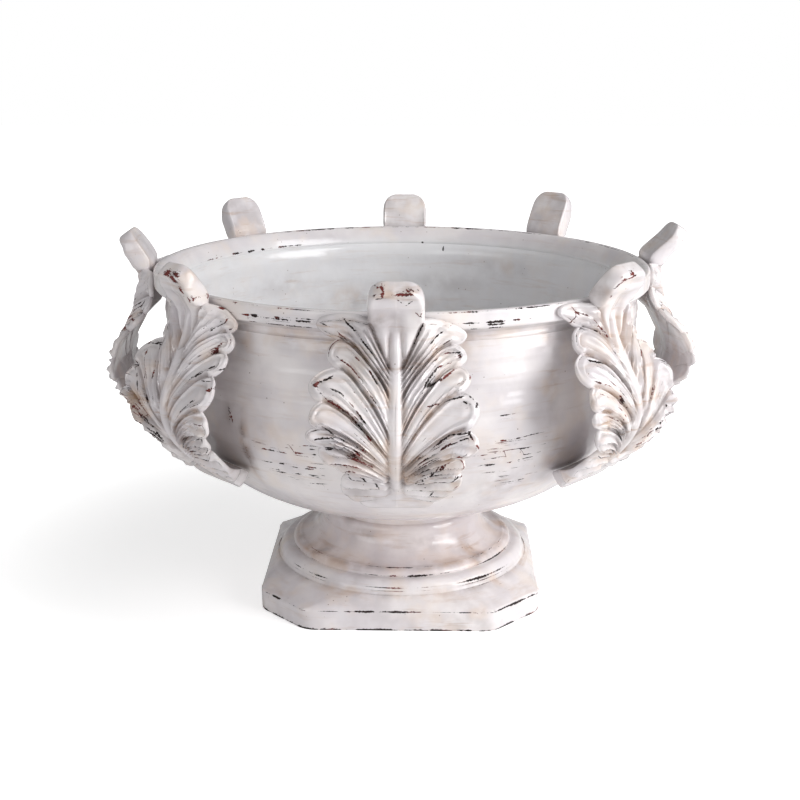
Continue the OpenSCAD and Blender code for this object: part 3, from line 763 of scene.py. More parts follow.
# rubbed strokes seen on the front leaves: points across and up, then the wear
leafStrokes = {
    "front": [
        ((-36, 274), (-27, 266), (-21, 259), (-16, 254), 1.3),
        ((-50, 270), (-42, 267), (-34, 260), 1.0), ((-28, 250), (-18, 244), (-12, 235), 1.1),
        ((-40, 249), (-31, 244), (-24, 238), 0.9),
        ((-55, 234), (-47, 227), (-32, 219), (-24, 210), (-16, 200), 1.3),
        ((-43, 238), (-55, 234), 1.1), ((-44, 232), (-37, 230), (-30, 224), (-19, 211), 1.2),
        ((-29, 232), (-19, 220), 0.8), ((-22, 235), (-13, 224), 0.9),
        ((-54, 213), (-46, 208), (-36, 201), (-26, 192), (-14, 180), 0.8),
        ((-56, 200), (-48, 202), (-40, 202), 1.1),
        ((-52, 196), (-40, 193), (-30, 188), (-18, 178), 0.8),
        ((-34, 172), (-23, 168), (-10, 158), 0.8), ((-44, 180), (-38, 170), 0.9),
        ((18, 272), (12, 260), 1.0),
        ((38, 270), (28, 264), (20, 256), (12, 248), (8, 240), (4, 235), 1.3),
        ((40, 262), (27, 255), 0.8), ((42, 252), (34, 252), (26, 248), 1.0),
        ((36, 246), (28, 244), (22, 238), (18, 232), 1.2), ((42, 244), (32, 238), (20, 234), 1.5),
        ((50, 238), (42, 235), 1.1), ((44, 228), (34, 226), (22, 222), 1.2),
        ((46, 225), (56, 222), 1.4), ((49, 206), (36, 204), (26, 196), 1.0),
        ((49, 205), (52, 200), (57, 192), 1.4), ((48, 202), (34, 197), (20, 186), 1.0),
        ((52, 194), (30, 180), (8, 158), 1.0), ((42, 186), (30, 178), (16, 166), 1.0),
        ((46, 171), (34, 164), (20, 159), 0.9), ((41, 159), (30, 156), (22, 150), 0.9),
        ((-14, 295), (-8, 296), 1.1), ((14, 283), (16, 280), (17, 284), 1.1), ((2, 294), (4, 292), 1.0),
        ((8, 291), (10, 293), 1.0),
    ],
    "front_left": [
        ((25, 273), (41, 268), 1.2), ((42, 272), (42, 260), 1.1), ((20, 258), (26, 264), 1.0),
        ((25, 258), (33, 265), 1.0), ((27, 242), (32, 246), 1.5), ((44, 234), (51, 235), 1.2),
        ((32, 226), (44, 228), 1.0), ((50, 214), (53, 210), 1.1), ((-58, 236), (-32, 240), 0.9),
        ((-42, 206), (-31, 200), 1.1), ((22, 180), (40, 185), 0.9), ((40, 270), (43, 259), 1.0),
        ((-46, 228), (-34, 214), (-20, 192), 0.9), ((-40, 234), (-28, 222), (-16, 200), 0.9),
        ((-30, 238), (-20, 226), (-11, 206), 0.8), ((34, 250), (22, 240), (12, 226), 0.9),
        ((38, 236), (26, 228), (14, 212), 0.9), ((36, 214), (24, 204), (13, 190), 0.8),
        ((-36, 196), (-24, 184), (-12, 172), 0.8),
    ],
    "front_right": [
        ((-33, 273), (-35, 262), 1.0), ((-31, 271), (-24, 268), (-17, 259), (-8, 246), 0.9),
        ((-28, 263), (-20, 258), (-14, 250), 0.8), ((-34, 240), (-22, 236), (-13, 222), 0.9),
        ((-42, 228), (-28, 222), (-16, 206), 0.9), ((-44, 222), (-30, 214), (-19, 200), 0.8),
        ((-36, 203), (-26, 198), (-16, 186), 0.8), ((10, 268), (5, 256), 0.8),
        ((26, 246), (18, 236), (10, 220), 0.8), ((34, 234), (24, 222), (12, 204), 0.8),
        ((40, 206), (26, 192), (12, 176), 0.9), ((44, 196), (30, 184), (14, 170), 0.9),
        ((36, 184), (24, 176), (12, 166), 0.8), ((-16, 291), (-9, 296), (0, 298), 1.2),
    ],
}
# chips through to the clay: across, up, half width, half height, strength
leafChips = {
    "front": [
        (-36, 274, 3.0, 1.5, 0.68), (21, 234, 3.0, 1.8, 0.66), (43, 250, 2.4, 2.0, 0.7),
        (-53, 234, 2.6, 3.0, 0.66), (50, 238, 1.6, 2.6, 0.64), (54, 223, 3.0, 2.0, 0.66),
        (-8.6, 299, 1.6, 4.4, 0.76), (6, 298.3, 12.0, 1.3, 0.74), (-12, 300, 4, 1.4, 0.62),
    ],
    "front_left": [
        (1, 299, 6.0, 2.0, 0.70), (7, 296, 4.4, 4.5, 0.80), (10.5, 288, 2.8, 4.5, 0.76),
        (13.5, 280, 2.0, 3.5, 0.70), (48, 223, 3.4, 2.4, 0.66),
    ],
    "front_right": [(-11, 296, 4.4, 1.8, 0.70), (-3, 299, 4.0, 1.4, 0.66), (-16, 284, 2.2, 2.0, 0.66)],
}
# tan stains
leafStains = {
    "front": [
        (-14, 276, 10, 8, 1.0), (-46, 262, 12, 8, 0.8), (-26, 148, 14, 5, 0.9), (2, 299, 14, 4, 1.0),
        (20, 170, 20, 10, 0.7), (14, 248, 8, 10, 0.8), (-12, 245, 6, 14, 0.7),
    ],
    "front_left": [(42, 262, 6, 8, 1.0), (8, 294, 8, 8, 0.9), (-30, 190, 20, 20, 0.6)],
    "front_right": [
        (-52, 216, 6, 6, 1.2), (-42, 194, 6, 8, 1.1), (-24, 284, 8, 6, 0.9), (20, 190, 30, 26, 0.7),
    ],
}


bandHigh = leafForm["rimZ"] - leafForm["bandZ"]
lobeCount = len(leafForm["lobesLeft"])


def faceKeys():  # height, radius and slope where the face bends
    form = leafForm
    tongueR = form["tongueSeatR"] + form["tongueThick"] * math.cos(math.radians(form["tongueTurn"]))
    z0, span = form["tongueZ"], form["span"]
    footR = form["rimR"] + form["tabThick"]
    return np.array([[z0, tongueR, 1.12],
                     [z0 + span * 0.11, mix(tongueR, form["bulgeR"], 0.36), 1.25],
                     [z0 + span * 0.46, form["bulgeR"], 0.0],
                     [form["rimZ"] - bandHigh * 0.9, footR, -0.1],
                     [form["tabTopZ"], footR + form["tabLean"], 0.7]])


keys = faceKeys()


def faceR(z):  # a smooth curve through the keys
    i = np.clip(np.searchsorted(keys[:, 0], z, side="right") - 1, 0, len(keys) - 2)
    z0, r0, s0 = np.moveaxis(keys[i], -1, 0)
    z1, r1, s1 = np.moveaxis(keys[i + 1], -1, 0)
    h = z1 - z0
    t = (z - z0) / h
    return (r0 * (2 * t**3 - 3 * t**2 + 1) + s0 * h * (t**3 - 2 * t**2 + t)
            + r1 * (3 * t**2 - 2 * t**3) + s1 * h * (t**3 - t**2))


def faceNormal(z):
    slope = faceR(z + 0.5) - faceR(z - 0.5)
    long = np.sqrt(1 + slope**2)
    return 1 / long, -slope / long


# length along the face for each height, so that distances are real ones
heightList = np.linspace(leafForm["tongueZ"] - 5, leafForm["tabTopZ"] + 12, 400)
alongList = np.concatenate([[0], np.cumsum(np.hypot(np.diff(heightList), np.diff(faceR(heightList))))])


def along(z):
    return np.interp(z, heightList, alongList)


def clearR(z):  # what a leaf's back stays clear of: belly and ridge, wall, then rim band
    form = bowlParts
    depth = form["wallZ"] - form["floorZ"]
    wide = form["wallR"] - form["neckR"]
    belly = form["neckR"] + wide * np.sqrt(np.clip(1 - ((form["wallZ"] - z) / depth) ** 2, 0, 1))
    ridge = form["ridgeHigh"] * rise(z, form["ridgeFrom"], form["ridgeFrom"] + form["ridgePitch"])
    below = np.where(z > form["wallZ"], form["wallR"] + 1.2, belly + ridge + 0.45)
    banded = np.where(z > form["bandZ"] - 2.5, leafForm["rimR"], below)
    return np.where(z > form["rimZ"] + 2.5, 0, banded)


def lobePlaces(lobes):
    form = leafForm
    tips = [(reach * form["halfWide"], form["tongueZ"] + high * form["span"]) for reach, high, _ in lobes]
    notches = [(form["tongueHalf"] + 3, form["tongueZ"] + form["span"] * 0.06)]
    for a, b in zip(tips, tips[1:]):
        notches.append((min(a[0], b[0]) - form["notchDeep"], (a[1] + b[1]) / 2))
    notches.append((form["tabHalf"], form["rimZ"] - bandHigh * 0.4))
    return np.array(tips), np.array(notches)


def veinFoot(n):  # height at which a vein leaves the midrib
    form = leafForm
    last = lobeCount - 1
    lean = form["baseZ"] + form["midribTop"] * (min(n, last) / lobeCount) ** form["midribLean"]
    return mix(lean, form["dropFoot"], max(0, n - last))


def leafRows(lobes):  # for each row: lobe count, height at the midrib, edge point
    form = leafForm
    tips, notches = lobePlaces(lobes)
    rows = []
    for step in form["tongueSteps"]:  # the tongue's rounded end
        z = form["tongueZ"] + step
        corner = form["tongueCorner"]
        bite = corner - math.sqrt(max(0, corner**2 - max(0, corner - step) ** 2))
        share = step / form["tongueSteps"][-1] * 0.999
        rows.append((share - 1, z, form["tongueHalf"] - bite + step * 0.35, z))
    for k in range(lobeCount):
        low, high = notches[k], notches[k + 1]
        middle = (low + high) / 2
        for i in range(form["lobeRows"]):
            share = i / form["lobeRows"]
            # rows crowd towards the notches, where the groove runs
            share = share - 0.07 * math.sin(2 * math.pi * share)
            turn = math.pi * share
            plump = abs(math.sin(turn)) ** 1.3
            teeth = form["teeth"] * lobes[k][2] * (abs(math.sin(3.5 * turn)) - 0.6) * math.sin(turn)
            edge = middle - (high - low) / 2 * math.cos(turn)
            edge = edge + (tips[k] - middle) * plump + np.array([teeth, 0])
            rows.append((k + share, veinFoot(k + share), edge[0], edge[1]))
    tabStart = form["tabTopZ"] - form["archHigh"]
    for i in range(form["tabRows"]):
        share = i / form["tabRows"]
        rows.append((lobeCount + share, mix(form["dropFoot"], tabStart, share), form["tabHalf"],
                     mix(notches[-1][1], tabStart, share)))
    for left in form["archSteps"]:
        gone = 1 - left / form["archHigh"]
        turn = min(math.degrees(math.asin(gone)), 88)
        z = form["tabTopZ"] - left
        half = form["tabHalf"] * math.cos(math.radians(turn * 0.8))
        rows.append((lobeCount + 1 + gone * 0.999, z, half, z))
    return np.array(rows)


def lineGap(u, a, line):  # distance from points to a polyline in the leaf's face
    p = np.stack([u.ravel(), a.ravel()], axis=1)[:, None, :]
    start, end = line[:-1][None], line[1:][None]
    way = end - start
    size = np.maximum((way**2).sum(-1), 1e-9)
    share = np.clip(((p - start) * way).sum(-1) / size, 0, 1)
    near = start + way * share[..., None]
    return np.sqrt(((p - near) ** 2).sum(-1).min(axis=1)).reshape(u.shape)


def strokeGap(u, z, stops):  # distance from a stroke, below nought on one side of it
    best = np.full(len(u), 99.0)
    for (u0, z0), (u1, z1) in zip(stops, stops[1:]):
        wayU, wayZ = u1 - u0, z1 - z0
        share = np.clip(((u - u0) * wayU + (z - z0) * wayZ) / (wayU**2 + wayZ**2), 0, 1)
        offU, offZ = u - u0 - share * wayU, z - z0 - share * wayZ
        gap = np.hypot(offU, offZ) * np.where(wayU * offZ - wayZ * offU < 0, -1, 1)
        best = np.where(np.abs(gap) < np.abs(best), gap, best)
    return best


def spreadAt(hand, side, z):
    form = leafForm
    low = mix(1, hand["low"], rise(z, form["tongueZ"], form["lobesZ"]))
    lobed = mix(low, hand["spread"], rise(z, form["lobesZ"], form["bulgeZ"]))
    upper = mix(lobed, hand["shoulder"][int(side > 0)], rise(z, form["shoulderZ"], form["bandZ"]))
    return mix(upper, hand["tabSpread"], rise(z, form["bandZ"], form["rimZ"]))


def softLeast(a, b, soft):
    h = np.clip(0.5 + 0.5 * (b - a) / soft, 0, 1)
    return b + (a - b) * h - soft * h * (1 - h)


def swell(value, middle, wide):  # 1 at the middle, fading to nought
    return np.exp(-((value - middle) / wide) ** 2)


def halfLeaf(lobes, hand, side):  # the rows, and for each point its share, place and length along
    form = leafForm
    rows = leafRows(lobes)
    n, zMid, uEdge, zEdge = (rows[:, i][:, None] for i in range(4))
    # columns crowd towards the edge
    reach = np.hypot(uEdge, along(zEdge) - along(zMid))
    crowd = np.array(form["edgeColumns"]) * np.minimum(1, reach / 16)
    inner = 1 - crowd[:, -1:] / reach
    plain = form["columns"] - len(form["edgeColumns"])
    shares = np.linspace(0, 1, plain + 1)[:-1][None, :] * inner
    t = np.concatenate([shares, 1 - crowd[:, ::-1] / reach], axis=1)
    # tongue and tab rows run straight, and bow round the tab's drops
    flat = 1 - rise(n, -0.6, 0.1)
    top = rise(n, lobeCount - 0.9, lobeCount)
    straight = np.maximum(flat, rise(n, lobeCount, lobeCount + 0.6))
    power = mix(mix(form["veinOut"], form["dropOut"], top), 1.0, straight)
    up = mix(form["veinUp"], 1.0, np.maximum(flat, top))
    z = zMid + (zEdge - zMid) * (1 - (1 - t) ** up)
    u = uEdge * spreadAt(hand, side, zEdge) * t**power
    return rows, t, u, z, along(z)


def lobeRelief(lobe, low, high, tip, z):  # one lobe, from the distances to its sides and its tip
    form = leafForm
    comb = lobe[2]
    half = np.maximum((low + high) / 2, 0.05)
    side = np.minimum(low, high)
    q = softLeast(side, tip, 3.0) / np.maximum(half, 3.5)
    across = low / np.maximum(low + high, 0.1)
    amount = ease((half - 0.5) / mix(4.6, 3.4, comb))
    # a rim, a groove, a ridge that turns back inside it and a slit
    nested = (form["rimRidge"] * swell(q, form["rimAt"], form["rimWide"])
              - form["grooveDeep"] * swell(q, form["grooveAt"], form["grooveWide"])
              + form["tongueRidge"] * swell(q, form["tongueAt"], form["tongueWide"])
              - form["slit"] * swell(across, 0.5, form["slitWide"]))
    # or combed ribs side by side
    plain = comb < 0.6
    ribs = 3 if plain else 4
    wave = np.cos(2 * math.pi * ribs * across + math.pi)
    combed = form["fingerHigh"] * ((0.5 + 0.5 * wave) ** 1.5 - 0.3) * rise(q, 0.0, 0.2)
    crown = form["crown"] * (1 - (1 - np.minimum(q, 1)) ** 2)
    gully = (-form["boundary"] * (1 - rise(side, 0, form["boundaryWide"]))
             - form["gullyDeep"] * (1 - rise(side, 0, form["gullyWide"])))
    overlap = form["overlap"] * (0.5 - across) * 2 * rise(side, 0, 1.5)
    relief = amount * (mix(nested, combed, comb) + crown + gully + overlap)
    # signed distances from the lobe's rim and from the ridges inside it
    crest = np.where((amount > 0.3) & plain, (q - form["rimAt"]) * half, 9.0)
    fingers = np.stack([across - (i + 0.5) / ribs for i in range(ribs)]) * half * 2
    nearest = np.take_along_axis(fingers, np.abs(fingers).argmin(axis=0)[None], axis=0)[0]
    core = np.where(amount > 0.4, nearest if comb > 0.45 else (q - form["tongueAt"]) * half, 9.0)
    # the wash lies in the grooves, more so at the foot
    grooves = mix(swell(q, form["washAt"], form["grooveWide"]), 0.5 - 0.5 * wave, comb)
    foot = 1 - rise(z, *form["footWashFades"])
    hollow = amount * (0.9 * swell(side, 0, 1.5) + mix(0.4, 0.62, foot) * grooves)
    return relief, crest, core, hollow


def reliefOf(lobes, rows, u, z, a):
    form = leafForm
    n = rows[:, 0][:, None] + np.zeros_like(u)
    # the whole edge, with its bulge, and the leaf's two ends
    edge = np.stack([u[:, -1], a[:, -1]], axis=1)
    bulged = edge + np.array([form["edgeBulge"], 0])
    outline = np.concatenate([[[0, a[0, 0]]], [edge[0]], bulged, [edge[-1]], [[0, a[-1, 0]]]])
    toEdge = lineGap(u, a, outline)
    relief, hollow = np.zeros_like(u), np.zeros_like(u)
    crest, core = np.full_like(u, 9.0), np.full_like(u, 9.0)
    starts = [len(form["tongueSteps"]) + k * form["lobeRows"] for k in range(lobeCount + 1)]
    lines = [np.stack([u[row], a[row]], axis=1) for row in starts]
    for k in range(lobeCount):
        part = slice(starts[k], starts[k + 1])
        low, high = (lineGap(u[part], a[part], lines[i]) for i in (k, k + 1))
        shaped = lobeRelief(lobes[k], low, high, toEdge[part], z[part])
        relief[part], crest[part], core[part], hollow[part] = shaped
    lobed = rise(n, -0.2, 0.5) * rise(u, 2.6, 7.5)
    relief *= lobed
    hollow *= lobed
    crest = np.where(lobed > 0.3, crest, 9.0)
    core = np.where(lobed > 0.3, core, 9.0)
    # midrib, with a groove on each side that holds the wash
    ribIn = rise(z, *form["ribFoot"]) * (1 - rise(z, *form["ribHead"]))
    wide = form["midribWide"] * mix(0.85, 1.1, rise(z, *form["ribSwells"]))
    wide = wide * mix(1, 0.72, rise(z, *form["ribTapers"]))
    trench = wide + form["trenchOut"]
    rib = form["midribHigh"] * (1 - rise(u, wide * 0.2, wide + form["ribSide"])) - form["ribSunk"]
    shallow = 1 - rise(z, *form["trenchFades"]) * 0.4
    rib = rib - form["trenchDeep"] * swell(u, trench, form["trenchWide"]) * shallow
    relief += rib * ribIn
    hollow += 0.8 * swell(u, trench, 1.7) * ribIn * (1 - rise(z, *form["ribWashFades"]))
    # the tab's face runs down in two drops, with a hollow between them
    fromLobes = lineGap(u, a, lines[-1])
    drop = form["dropPlump"] * (1 - (1 - np.clip(fromLobes / form["dropRound"], 0, 1)) ** 2)
    edgeIn = 1 - rise(z, *form["dropEdgeFades"])
    drop = drop - form["dropEdgeDeep"] * (1 - rise(fromLobes, 0, 2.2)) * edgeIn
    drop = drop * mix(rise(u, 3.0, 7.5), 1, rise(z, *form["dropsMeet"]))
    between = form["betweenDeep"] * swell(u, 1.5, form["betweenWide"]) * rise(z, *form["betweenStarts"])
    between = between * (1 - rise(z, *form["betweenEnds"]))
    beside = form["besideDeep"] * swell(u, trench, form["besideWide"]) * (1 - rise(z, *form["besideFades"]))
    onTab = n >= lobeCount
    relief += np.where(onTab, (drop - between - beside) * (1 - rise(z, *form["tabFlattens"])), 0)
    washed = swell(fromLobes, 0, form["besideWide"]) * (1 - rise(z, *form["dropWashFades"]))
    hollow += np.where(onTab, washed + 0.35 * between, 0)
    return relief, toEdge, crest, core, hollow


def rounded(gap, radius):  # how far a rounded edge falls back at a distance from it
    inside = np.clip(radius - gap, 0, radius)
    return radius - np.sqrt(np.maximum(radius**2 - inside**2, 0))


def bend(hand, side, u, radius, z):  # what one leaf's hand moved
    form = leafForm
    shift = side * hand["tabShift"] * rise(z, form["shoulderZ"], form["rimZ"])
    shift = shift * (1 - rise(u, form["tabHalf"], form["shiftTo"]))
    tab = rise(z, form["rimZ"], form["tabTopZ"])
    low = form["baseZ"]
    bulge = rise(z, low - bandHigh, low + 3 * bandHigh) * (1 - rise(z, form["shoulderZ"], form["bandZ"]))
    return u + shift, radius + hand["tabOut"] * tab + hand["swing"] * bulge, z + hand["tabLift"] * tab


def frontR(u, z):  # the face, its shoulders seated round the rim band
    form = leafForm
    shoulder = rise(z, form["shoulderZ"], form["bandZ"]) * rise(u, form["shoulderFrom"], form["shoulderTo"])
    seat = np.sqrt(form["rimR"]**2 - u**2) + form["edgeThick"]
    return mix(faceR(z), seat, shoulder * rise(form["rimZ"] + bandHigh - z, 0, bandHigh))


def thicknessOf(t, z):
    form = leafForm
    body = mix(form["thick"], form["edgeThick"], ease(t))
    leaf = mix(form["tongueThick"], body, rise(z, form["tongueZ"], form["baseZ"]))
    return mix(leaf, form["tabThick"], rise(z, form["bandZ"], form["rimZ"]))


def pressHalf(number, hand, side, lobes):  # a sheet for the front, one for the back, and the edge between
    form = leafForm
    rows, t, u, z, a = halfLeaf(lobes, hand, side)
    relief, toEdge, crest, core, hollow = reliefOf(lobes, rows, u, z, a)
    tabness = rise(z, form["bandZ"], form["rimZ"])
    tongueness = 1 - rise(z, form["tongueZ"] + 4, form["baseZ"])
    edgeRound = mix(form["edgeRound"], form["tabRound"], np.maximum(tabness, tongueness * 0.5))
    outR, outZ = faceNormal(z)
    thick = thicknessOf(t, z)
    spots = np.stack([u * side, z, 0 * u + number * 50], axis=-1).reshape(-1, 3)
    lumps = softNoise(spots, form["lumpSize"], number * 7 + side).reshape(u.shape)
    sink = form["sink"] * (1 - np.maximum(tabness, tongueness))
    lift = np.maximum(relief - sink, form["thinnest"] - thick) - rounded(toEdge, edgeRound)
    lift += form["lumpHigh"] * lumps
    front = bend(hand, side, u, frontR(u, z) + lift * outR, z + lift * outZ)
    # the back, with fewer columns
    last = form["columns"] - 1
    plain = np.linspace(0, last - 5, form["backColumns"]).astype(int)
    pick = np.unique(np.concatenate([plain, [last - 2, last]]))
    bu, bz = u[:, pick], z[:, pick]
    bOutR, bOutZ = faceNormal(bz)
    deep = thick[:, pick] - rounded(toEdge[:, pick], edgeRound[:, pick] * 0.6)
    backU, backR, backZ = bend(hand, side, bu, frontR(bu, bz) - deep * bOutR, bz - deep * bOutZ)
    backR = np.maximum(backR, np.sqrt(np.maximum(clearR(backZ)**2 - backU**2, 0)))
    # round the edge from front to back
    start = np.stack([part[:, -1] for part in front], axis=1)
    end = np.stack([backU[:, -1], backR[:, -1], backZ[:, -1]], axis=1)
    edgeWay = np.gradient(np.stack([u[:, -1], z[:, -1]], axis=1), axis=0)
    normal = np.stack([edgeWay[:, 1], -edgeWay[:, 0]], axis=1)
    normal /= np.maximum(np.linalg.norm(normal, axis=1, keepdims=True), 1e-6)
    n = rows[:, 0]
    ends = rise(n, lobeCount - 0.2, lobeCount + 0.2) + 1 - rise(n, -0.5, 0.0)
    normal = mix(normal, np.array([[1.0, 0.0]]), np.clip(ends, 0, 1)[:, None])
    outward = np.stack([normal[:, 0], 0 * n, normal[:, 1]], axis=1)
    rim = []
    for turn in np.radians(form["edgeTurns"]):
        share = (1 - math.cos(turn)) / 2
        rim.append(start + (end - start) * share + outward * (form["edgeBulge"] * math.sin(turn)))
    return {"side": side, "front": front, "back": (backU, backR, backZ), "rim": np.stack(rim, axis=1),
            "flatU": u, "flatZ": z, "crest": crest, "core": core, "hollow": hollow, "toEdge": toEdge}


def leafRing(left, right):  # a closed ring of points for each row: front, right rim, back, left rim
    def block(sheet, layer, flip, skip=0):
        u, radius, z = sheet[layer]
        points = np.stack([sheet["side"] * u, -radius, z], axis=-1)
        return (points[:, ::-1] if flip else points)[:, skip:]

    rimLeft, rimRight = (sheet["rim"] * [sheet["side"], -1, 1] for sheet in (left, right))
    return np.concatenate([block(left, "front", True), block(right, "front", False, 1), rimRight,
                           block(right, "back", True), block(left, "back", False, 1),
                           rimLeft[:, ::-1]], axis=1)


def fieldRing(left, right, name, onRim, onBack):  # a number for each point of the ring
    rowCount, rimCount = right["rim"].shape[:2]
    backCount = right["back"][0].shape[1] * 2 - 1
    rim = np.full((rowCount, rimCount), onRim)
    back = np.full((rowCount, backCount), onBack)
    return np.concatenate([left[name][:, ::-1], right[name][:, 1:], rim, back, rim], axis=1).ravel()


def closeEnd(ring, row, frontCount, rimCount, flip):  # the faces that close the tongue's or the tab's end
    index = np.arange(ring.shape[1]) + row * ring.shape[1]
    front, rest = index[:frontCount], index[frontCount:]
    backs = rest[rimCount:len(rest) - rimCount][::-1]
    across = ring[..., 0].ravel()
    made = []
    i = j = 0
    # match each stretch of the front with the back point nearest to it
    while i < len(front) - 1 or j < len(backs) - 1:
        atEnd = j == len(backs) - 1
        if atEnd or (i < len(front) - 1 and across[front[i + 1]] <= across[backs[j + 1]]):
            made.append([front[i], front[i + 1], backs[j]])
            i += 1
        else:
            made.append([front[i], backs[j + 1], backs[j]])
            j += 1
    rightRim = [front[-1], *rest[:rimCount], backs[-1]]
    leftRim = [backs[0], *rest[len(rest) - rimCount:], front[0]]
    for fan in (rightRim, leftRim):
        made += [[fan[0], fan[k], fan[k + 1]] for k in range(1, len(fan) - 1)]
    return [[int(v) for v in (face[::-1] if flip else face)] for face in made]


def wearLeaf(leaf, number, name, left, right, ring):  # where the glaze is rubbed, chipped and washed
    frontCount = left["flatU"].shape[1] * 2 - 1
    rimCount = left["rim"].shape[1]
    flatU = np.concatenate([-left["flatU"][:, ::-1], right["flatU"][:, 1:]], axis=1)
    flatZ = np.concatenate([left["flatZ"][:, ::-1], right["flatZ"][:, 1:]], axis=1)
    across = np.concatenate([flatU, ring[:, frontCount:, 0]], axis=1).ravel()
    up = np.concatenate([flatZ, ring[:, frontCount:, 2]], axis=1).ravel()
    place = np.stack([across, up, np.full_like(up, number * 60.0)], axis=1)
    onFace = np.ones(ring.shape[:2], dtype=bool)
    onFace[:, frontCount + rimCount:ring.shape[1] - rimCount] = False
    onFace = onFace.ravel()

    def patchesOn(places):
        total = np.zeros(len(up))
        for atU, atZ, wide, high, strength in places:
            far = ((across - atU) / wide) ** 2 + ((up - atZ) / high) ** 2
            total = np.maximum(total, strength * np.exp(-far))
        return total * onFace

    # the clay shows towards the lobes' ends, less so where the strokes are drawn one by one
    outward = rise(np.abs(across), 9, 24) * (0.45 if name in leafStrokes else 1)
    uneven = rise(softNoise(place, 17, number + 1), 0.0, 0.6)
    addField(leaf, "rimLine", fieldRing(left, right, "crest", 9.0, 9.0))
    addField(leaf, "rimWear", np.clip(0.1 + 1.1 * uneven, 0, 1.3) * outward)
    # the combed lobes at the foot are rubbed on every rib
    uneven = rise(softNoise(place, 21, number + 31), 0.05, 0.6)
    atFoot = 1 - rise(up, *leafForm["combedRubFades"])
    combed = np.clip((0.1 + 1.1 * uneven) * outward + 0.4 * atFoot, 0, 1.1)
    addField(leaf, "coreLine", fieldRing(left, right, "core", 9.0, 9.0))
    addField(leaf, "coreWear", combed * rise(np.abs(across), 8, 20))
    uneven = rise(softNoise(place, 15, number + 51), -0.05, 0.45)
    toEdge = fieldRing(left, right, "toEdge", 0.0, 9.0)
    addField(leaf, "edgeLine", toEdge - 0.9)
    sheltered = 1 - 0.7 * rise(up, *leafForm["edgeRubFades"])
    addField(leaf, "edgeWear", 1.1 * uneven * (toEdge < 5) * sheltered)
    markLine, markWear = np.full(len(up), 5.0), np.zeros(len(up))
    for *stops, wear in leafStrokes.get(name, []):
        gap = strokeGap(across, up, stops)
        nearer = (np.abs(gap) < np.abs(markLine)) & onFace
        markLine = np.where(nearer, gap, markLine)
        markWear = np.where(nearer, wear * (1 - rise(np.abs(gap), 1.2, 2.6)), markWear)
    addField(leaf, "markLine", markLine)
    addField(leaf, "markWear", markWear)
    addField(leaf, "chip", patchesOn(leafChips.get(name, [])))
    washAndShade = fieldRing(left, right, "hollow", 0.0, 0.35) * (0.9 + 0.5 * softNoise(place, 30, number + 11))
    washAndShade += 0.2 + 0.2 * softNoise(place, 24, number + 5) + patchesOn(leafStains.get(name, []))
    addField(leaf, "washAndShade", np.clip(washAndShade, 0, 1.6))
    addField(leaf, "streak", np.full(len(across), 0.12))


def pressLeaf(number):
    form = leafForm
    hand = {key: leafHand[key][number] for key in leafHand}
    left, right = (pressHalf(number, hand, side, form[lobes])
                   for side, lobes in ((-1, "lobesLeft"), (1, "lobesRight")))
    ring = leafRing(left, right)
    rowCount, ringCount = ring.shape[:2]
    frontCount, rimCount = form["columns"] * 2 - 1, len(form["edgeTurns"])
    index = np.arange(rowCount * ringCount).reshape(rowCount, ringCount)
    beside = np.roll(index, -1, axis=1)
    quads = np.stack([index[:-1], index[1:], beside[1:], beside[:-1]], axis=-1).reshape(-1, 4)
    faces = quads.tolist()
    for row, flip in ((0, False), (rowCount - 1, True)):
        faces += closeEnd(ring, row, frontCount, rimCount, flip)
    # turned to its place round the rim
    turn = math.radians(number * 45 + hand["drift"])
    x, y, z = ring.reshape(-1, 3).T
    turned = np.stack([x * math.cos(turn) - y * math.sin(turn),
                       x * math.sin(turn) + y * math.cos(turn), z], axis=1)
    name = "leafPressed_" + hand["names"]
    mesh = bpy.data.meshes.new(name)
    mesh.from_pydata((turned / 1000).tolist(), [], faces)
    leaf = bpy.data.objects.new(name, mesh)
    bpy.context.collection.objects.link(leaf)
    makeActive(leaf)
    bpy.ops.object.mode_set(mode="EDIT")
    bpy.ops.mesh.select_all(action="SELECT")
    bpy.ops.mesh.normals_make_consistent(inside=False)
    bpy.ops.object.mode_set(mode="OBJECT")
    wearLeaf(leaf, number, hand["names"], left, right, ring)
    mesh.materials.append(leafGlaze)
    smoothPiece(leaf, 60)
    standFor(leaf, "leaf_" + hand["names"])
    return leaf


for number in range(len(leafHand["names"])):
    leaf = pressLeaf(number)
    print("leaf", number, "faces", len(leaf.data.polygons))


# floor, camera and light

setParts = {  # m and watts
    "cameraAt": (0.022344, -1.050733, 0.460550), "target": (-0.0014996, -0.000034, 0.158838),
    "lens": 57.817, "sensor": 36, "floorSize": 8.0, "floorAt": 1.5,
    "floorGlow": 0.50, "farGlow": 1.0, "glowFrom": 0.24, "glowTo": 0.62, "world": 0.32,
    # place, target, size and power
    "softboxes": {
        "keySoftbox": ((1.55, -0.75, 1.35), (0, 0, 0.15), (1.3, 1.3), 30.5),
        "windowSoftbox": ((1.40, -0.80, 0.42), (0, 0, 0.20), (0.75, 0.8), 9.5),
        "fillSoftbox": ((-1.25, -1.9, 0.55), (0, 0, 0.15), (1.8, 0.9), 11.5),
    },
}


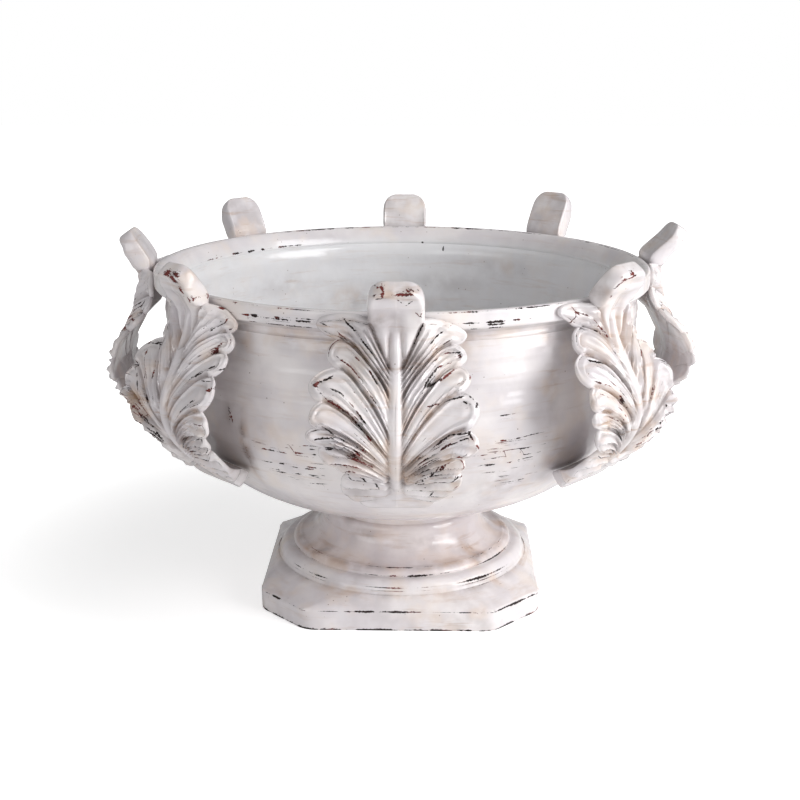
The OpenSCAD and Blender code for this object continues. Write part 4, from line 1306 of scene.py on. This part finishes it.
def layFloor():
    bpy.ops.mesh.primitive_plane_add(size=setParts["floorSize"], location=(0, setParts["floorAt"], 0))
    floor = bpy.context.object
    floor.name = "studioFloor"
    material = bpy.data.materials.new("whitePaperFloor")
    material.use_nodes = True
    tree = material.node_tree
    tree.nodes.clear()
    matte = addNode(tree, "BsdfDiffuse", inputs={"Color": "#FAFAFA"})
    # lit paper that the lens sees as plain white away from the urn's soft shadow
    place = addNode(tree, "TexCoord", output="Object")
    fromUrn = addNode(tree, "Mapping", inputs={"Vector": place, "Location": (0.0, setParts["floorAt"], 0.0)})
    far = addNode(tree, "VectorMath", {"operation": "LENGTH"}, {"Vector": fromUrn}, "Value")
    reach = addNode(tree, "MapRange", {"interpolation_type": "SMOOTHSTEP"}, {
        "Value": far, "From Min": setParts["glowFrom"], "From Max": setParts["glowTo"],
        "To Min": setParts["floorGlow"], "To Max": setParts["farGlow"]})
    glow = addNode(tree, "Emission", inputs={"Color": "#FFFFFF", "Strength": reach})
    both = addNode(tree, "AddShader", inputs={0: matte, 1: glow})
    byLens = addNode(tree, "LightPath", output="Is Camera Ray")
    seen = addNode(tree, "MixShader", inputs={0: byLens, 1: matte, 2: both})
    addNode(tree, "OutputMaterial", inputs={"Surface": seen})
    floor.data.materials.append(material)


def placeAt(name, data, at, target):  # a lamp or camera, turned to what it looks at
    thing = bpy.data.objects.new(name, data)
    bpy.context.collection.objects.link(thing)
    thing.location = at
    thing.rotation_euler = (Vector(target) - Vector(at)).to_track_quat("-Z", "Y").to_euler()
    return thing


def setCamera():
    data = bpy.data.cameras.new("photoCamera")
    data.lens = setParts["lens"]
    data.sensor_width = setParts["sensor"]
    bpy.context.scene.camera = placeAt("photoCamera", data, setParts["cameraAt"], setParts["target"])


def lightStage():
    for name, (at, target, size, power) in setParts["softboxes"].items():
        light = bpy.data.lights.new(name, "AREA")
        light.shape = "RECTANGLE"
        light.size, light.size_y = size
        light.energy = power
        placeAt(name, light, at, target)
    world = bpy.data.worlds.new("studioWorld")
    bpy.context.scene.world = world
    world.use_nodes = True
    tree = world.node_tree
    tree.nodes.clear()
    dim, bright = (addNode(tree, "Background", inputs={"Color": "#FFFFFF", "Strength": strength})
                   for strength in (setParts["world"], 1.0))
    byLens = addNode(tree, "LightPath", output="Is Camera Ray")
    seen = addNode(tree, "MixShader", inputs={0: byLens, 1: dim, 2: bright})
    addNode(tree, "OutputWorld", inputs={"Surface": seen})


layFloor()
setCamera()
lightStage()
print("floor laid, camera and lights set")
bpy.context.scene.view_settings.view_transform = "Standard"
